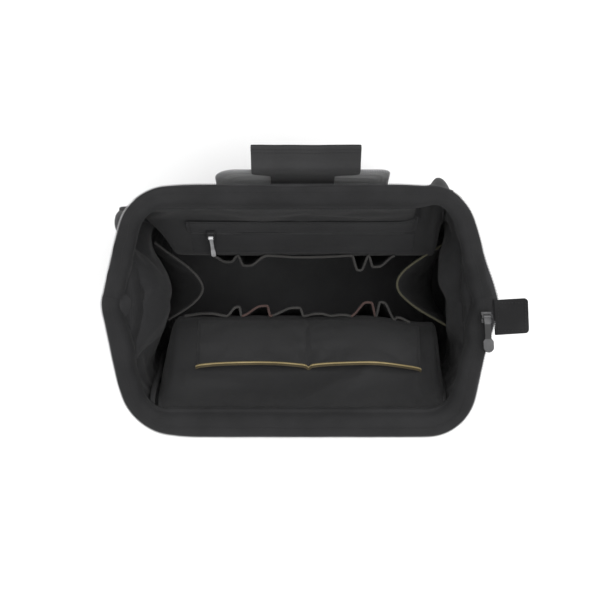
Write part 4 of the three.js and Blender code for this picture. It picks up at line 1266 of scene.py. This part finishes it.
def makeWrap():
    leanUp, leanOut = leanAxes(handleSizes["lean"])
    flapUp, flapOut = leanAxes(wrapSizes["flapLean"])
    web, thick = handleSizes["web"], handleSizes["thick"]
    hold = thick / 2 + wrapSizes["hold"]

    def webMiddle(rise):
        return archPlace(np.zeros(1), np.full(1, float(rise)), np.zeros(1))[0, 1:] + leanOut * thick / 2

    root = webMiddle(archTop + web / 2 + wrapSizes["root"])

    def layer(side):
        up, stand = wrapSizes["neck"]
        points = [root + flapUp * wrapSizes["flap"] * reach + flapOut * side * off
                  for reach, off in wrapSizes["flapRows"]]
        points.append(root + leanUp * up + flapOut * side * stand)
        for share, back, more in wrapSizes["gripRows"]:
            points.append(webMiddle(archTop + web * share - back) + leanOut * side * (hold + more))
        return points

    fold = webMiddle(archTop - web / 2 - wrapSizes["fold"])
    fine = smoothPath(np.array(layer(1) + [fold] + layer(-1)[::-1]), wrapSizes["rows"])
    height = fine[:, 1] - root[1]
    share = smoothStep(height, -wrapSizes["throatFrom"], -wrapSizes["throatTo"])
    half = blend(wrapSizes["throat"], wrapSizes["half"], share)
    middle = blend(handleSizes["middle"], wrapSizes["middle"], share)
    x = middle[:, None] + half[:, None] * np.linspace(-1, 1, wrapSizes["columns"])
    grid = np.stack([x, *(np.broadcast_to(fine[:, k, None], x.shape) for k in (0, 1))], axis=-1)
    sag = smoothStep(height, -wrapSizes["sagFrom"], wrapSizes["sagTo"])[:, None]
    grid[..., 1] += softFold(grid, wrapSizes, "wrap") * sag
    length = runLength(fine)
    obj = clothPiece("handleWrap", grid, weaveOf(x, length[:, None]), "wrapCloth", wrapSizes["thick"],
                     "wrap_cloth", "handle_wrap")
    near, far = wrapSizes["stitch"]
    for row in wrapSizes["stitchRows"]:
        stitchLines.append(grid[-1 - row, 1:-1] + np.array([0, -near, far]))
        stitchLines.append(grid[row, 1:-1] + np.array([0, far, -near]))


makeWrap()
print("carry handle made")


# Shoulder straps: centre line on the right side as x, stand-off from the back wall and height
strapSizes = {"wide": 62, "thick": 12, "columns": 11, "rows": 64, "edgeInset": 2, "endShare": 0.72,
              "waveRun": 1.25, "waveCurl": 0.6, "rim": 0.4, "lift": 0.34, "binding": (1.6, 3.4),
              "bindingOut": 0.6, "stitch": 0.35,
              "settling": {"slack": 0.02, "stiff": 0.4, "cap": 2.6, "pressure": 2.2, "frames": 16}}
strapLine = [(62, 8, 200), (63, 12, 186), (66, 19, 170), (72, 26, 152), (82, 29, 134), (96, 27, 112),
             (111, 20, 95)]
lowerSizes = {"web": 25, "thick": 2.5, "ribs": 7, "ribDepth": 0.22, "edge": 0.55, "rows": 26}
lowerLine = [(123, 9, 62), (130, 6.5, 44), (136, 4, 28), (140, 3, 14)]


def backLine(rows, side, count):
    x, off, z = np.array(rows, float).T
    point, out, _ = wallSpot("back", -inward[side] * x, z)
    path = smoothPath(point + out * (bodySizes["wall"] + off)[:, None], count)
    heading = unit(np.gradient(path, axis=0))
    across = unit(np.array([1.0, 0, 0]) - heading * heading[:, :1])
    return path, across, np.cross(across, heading)


def makeStrap(side):
    rows, columns = strapSizes["rows"], strapSizes["columns"]
    path, across, out = backLine(strapLine, side, rows)
    run = np.minimum(np.linspace(0, 1, rows) * strapSizes["waveRun"], 1)
    wave = np.sin(math.pi * run) ** strapSizes["waveCurl"]
    half = (strapSizes["wide"] / 2 - strapSizes["edgeInset"]) * blend(strapSizes["endShare"], 1, wave)
    u = np.linspace(-1, 1, columns)
    body = blend(strapSizes["rim"], 1, np.sqrt(np.maximum(1 - u ** 2, 0)))
    flat = path[:, None] + across[:, None] * (half[:, None] * u)[..., None]
    lift = out[:, None] * (body * strapSizes["thick"] * strapSizes["lift"])[:, None]
    rings = np.concatenate([flat + lift, (flat - lift)[:, ::-1]], axis=1)
    wide = np.concatenate([u, u[::-1]]) * strapSizes["wide"] / 2
    obj = ringsPiece(side + "ShoulderStrap", rings, weaveOf(wide, runLength(path)[:, None]), "shellCloth")
    index = np.arange(rows * 2 * columns).reshape(rows, 2 * columns)
    sewn = [*(index[:, k] for k in (0, columns - 1, columns, -1)), index[0], index[-1]]
    settleCloth(obj, np.unique(np.concatenate(sewn)), **strapSizes["settling"])
    swollen = pointsOf(obj).reshape(rings.shape) / metre
    addSmoothing(fixNormals(obj))
    place(obj, "shell_cloth", side + "_shoulder_strap")
    for edge, way, label in ((0, -1, "A"), (columns - 1, 1, "B")):
        line = flat[:, edge] + across * strapSizes["bindingOut"] * way
        binding = tubePiece(side + "StrapEdge" + label, line, out, *strapSizes["binding"], "darkBinding")
        place(binding, "dark_binding")
    for column in (1, columns - 2):
        stitchLines.append(swollen[1:-1, column] + out[1:-1] * strapSizes["stitch"])


def makeLowerStrap(side):
    path, across, out = backLine(lowerLine, side, lowerSizes["rows"])
    loop = ribLoop(lowerSizes["thick"], lowerSizes["ribs"], lowerSizes["ribDepth"], lowerSizes["edge"])
    spread = loop[:, :1] * lowerSizes["web"] / 2
    rings = path[:, None] + across[:, None] * spread + out[:, None] * loop[:, 1:]
    length = runLength(path)
    obj = ringsPiece(side + "LowerStrap", rings, weaveOf(spread[:, 0], length[:, None]), "handleWebbing")
    place(fixNormals(obj), "webbing", side + "_lower_strap")


for sideName in ("left", "right"):
    makeStrap(sideName)
    makeLowerStrap(sideName)
print("shoulder straps made")


# Hard pieces: the solid's own shape with rounded edges. A puller's looks are bands, each up to a distance
# from its pin
pullerBands = [("platedMetal", 8.0), ("gripRubber", 23.0), ("gripEnd", None)]
hardPieces = table(
    "name node edge bands slot body",
    ("pocketZipSlider", "pocket_zip_slider", 0.35, [("darkMetal", None)], "steel", "bag"),
    ("pocketZipPuller", "pocket_zip_puller", 0.25, [("brightSteel", None)], "steel", "pocket_puller"),
    ("mainZipSlider", "main_zip_slider", 0.4, [("platedMetal", None)], "steel", "bag"),
    ("mainZipPuller", "main_zip_puller", 0.4, pullerBands, "grip", "main_puller"),
    ("leftAdjuster", "left_adjuster", 0.6, [("bucklePlastic", None)], "buckle", "bag"),
    ("rightAdjuster", "right_adjuster", 0.6, [("bucklePlastic", None)], "buckle", "bag"),
    ("zipEndTab", "zip_end_tab", 0.8, [("hemCloth", None)], "shell_cloth", "bag"),
)
hardEdges = {"flat": 2, "sharp": 30, "segments": 2}  # angles in degrees
pins = {joint["child"]: Vector(joint["pos_m"]) for joint in frame["record"]["behaviour"]["joints"]}


# Cuts a puller across at each limit and gives its faces the looks in order
def bandFaces(work, pin, limits):
    run = max((vert.co - pin for vert in work.verts), key=lambda away: away.length).normalized()
    for limit in limits:
        parts = list(work.verts) + list(work.edges) + list(work.faces)
        bmesh.ops.bisect_plane(work, geom=parts, plane_co=pin + run * limit * metre, plane_no=run)
    for face in work.faces:
        along = (face.calc_center_median() - pin).dot(run) / metre
        face.material_index = sum(along > limit for limit in limits)


def roundedCopy(piece):
    mesh = frame["nodes"][piece["node"]].data.copy()
    mesh.materials.clear()
    for look, _ in piece["bands"]:
        mesh.materials.append(paint[look])
    obj = addObject(piece["name"], mesh)
    work = bmesh.new()
    work.from_mesh(mesh)
    bmesh.ops.remove_doubles(work, verts=work.verts, dist=weldDistance)
    flat = math.radians(hardEdges["flat"])
    bmesh.ops.dissolve_limit(work, angle_limit=flat, verts=work.verts, edges=work.edges)
    if len(piece["bands"]) > 1:
        bandFaces(work, pins[piece["body"]], [limit for _, limit in piece["bands"][:-1]])
    work.to_mesh(mesh)
    work.free()
    bevel = obj.modifiers.new("edge", "BEVEL")
    bevel.width = piece["edge"] * metre
    bevel.segments = hardEdges["segments"]
    bevel.limit_method = "ANGLE"
    bevel.angle_limit = math.radians(hardEdges["sharp"])
    place(obj, piece["slot"], piece["node"], body=piece["body"])


for hardPiece in hardPieces:
    roundedCopy(hardPiece)


# Box of stitches on the cloth tab at the zip's end
tabStitches = {"inset": 4.5, "lift": 0.25, "facing": 0.6}


def stitchTab():
    mesh = frame["nodes"]["zip_end_tab"].data
    upper = [face for face in mesh.polygons if face.normal.z > tabStitches["facing"]]
    top = {index for face in upper for index in face.vertices}
    points = np.array([mesh.vertices[index].co for index in top]) / metre
    flat = np.column_stack([points[:, :2], np.ones(len(points))])
    slope = np.linalg.lstsq(flat, points[:, 2], rcond=None)[0]
    low, high = points[:, :2].min(0) + tabStitches["inset"], points[:, :2].max(0) - tabStitches["inset"]
    line = cornerLine([low, (high[0], low[1]), high, (low[0], high[1]), low])
    stitchLines.append(np.column_stack([line, line @ slope[:2] + slope[2] + tabStitches["lift"]]))


stitchTab()
print("sliders, pullers and buckles made")


# Stitches and zip teeth by Geometry Nodes: small shapes along the lines gathered above
stitchSizes = {"pitch": 3.4, "size": (2.5, 0.62, 0.62)}
coilSizes = {"pitch": 1.7, "size": (0.95, 2.6, 1.3)}
ballSizes = {"Segments": 6, "Rings": 5}


def linesMesh(name, lines):
    points, edges = [], []
    for line in lines:
        start = len(points)
        points += (line * metre).tolist()
        edges += [(start + k, start + k + 1) for k in range(len(line) - 1)]
    mesh = bpy.data.meshes.new(name)
    mesh.from_pydata(points, edges, [])
    return addObject(name, mesh)


def alongLinesTree(name):
    tree = bpy.data.node_groups.new(name, "GeometryNodeTree")
    for label, kind in (("Geometry", "NodeSocketGeometry"), ("Pitch", "NodeSocketFloat"),
                        ("Size", "NodeSocketVector"), ("Material", "NodeSocketMaterial")):
        tree.interface.new_socket(name=label, in_out="INPUT", socket_type=kind)
    tree.interface.new_socket(name="Geometry", in_out="OUTPUT", socket_type="NodeSocketGeometry")
    kinds = ("NodeGroupInput", "NodeGroupOutput", "GeometryNodeMeshToCurve", "GeometryNodeCurveToPoints",
             "GeometryNodeMeshUVSphere", "FunctionNodeAlignRotationToVector", "GeometryNodeInstanceOnPoints",
             "GeometryNodeRealizeInstances", "GeometryNodeSetShadeSmooth", "GeometryNodeSetMaterial")
    nodes = [tree.nodes.new(kind) for kind in kinds]
    given, out, curve, points, ball, turn, instance, real, smooth, colour = nodes
    points.mode = "LENGTH"
    for label, count in ballSizes.items():
        ball.inputs[label].default_value = count
    turn.axis = "X"
    for source, outlet, target, inlet in (
        (given, "Geometry", curve, "Mesh"),
        (curve, "Curve", points, "Curve"),
        (given, "Pitch", points, "Length"),
        (points, "Tangent", turn, "Vector"),
        (points, "Points", instance, "Points"),
        (ball, "Mesh", instance, "Instance"),
        (turn, "Rotation", instance, "Rotation"),
        (given, "Size", instance, "Scale"),
        (instance, "Instances", real, "Geometry"),
        (real, "Geometry", smooth, "Geometry"),
        (smooth, "Geometry", colour, "Geometry"),
        (given, "Material", colour, "Material"),
        (colour, "Geometry", out, "Geometry"),
    ):
        tree.links.new(source.outputs[outlet], target.inputs[inlet])
    return tree


def repeatAlong(name, tree, lines, sizes, look, slotName):
    obj = linesMesh(name + "Lines", lines)
    nodes = obj.modifiers.new("repeat", "NODES")
    nodes.node_group = tree
    sockets = {item.name: item.identifier for item in tree.interface.items_tree if item.in_out == "INPUT"}
    nodes[sockets["Pitch"]] = sizes["pitch"] * metre
    nodes[sockets["Size"]] = [part / 2 * metre for part in sizes["size"]]
    nodes[sockets["Material"]] = paint[look]
    shown = obj.evaluated_get(bpy.context.evaluated_depsgraph_get())
    mesh = bpy.data.meshes.new_from_object(shown)
    mesh.name = name
    place(addObject(name, mesh), slotName)
    bpy.data.objects.remove(obj)
    print(name, len(mesh.polygons), "faces")


alongTree = alongLinesTree("shapesAlongLines")
repeatAlong("stitches", alongTree, stitchLines, stitchSizes, "sewingThread", None)
repeatAlong("litZipTeeth", alongTree, litCoilLines, coilSizes, "zipCoil", "zip_tape")
repeatAlong("darkAndShadedZipTeeth", alongTree, darkAndShadedCoilLines, coilSizes, "darkCoil", "zip_tape")
print("stitches and zip teeth made")
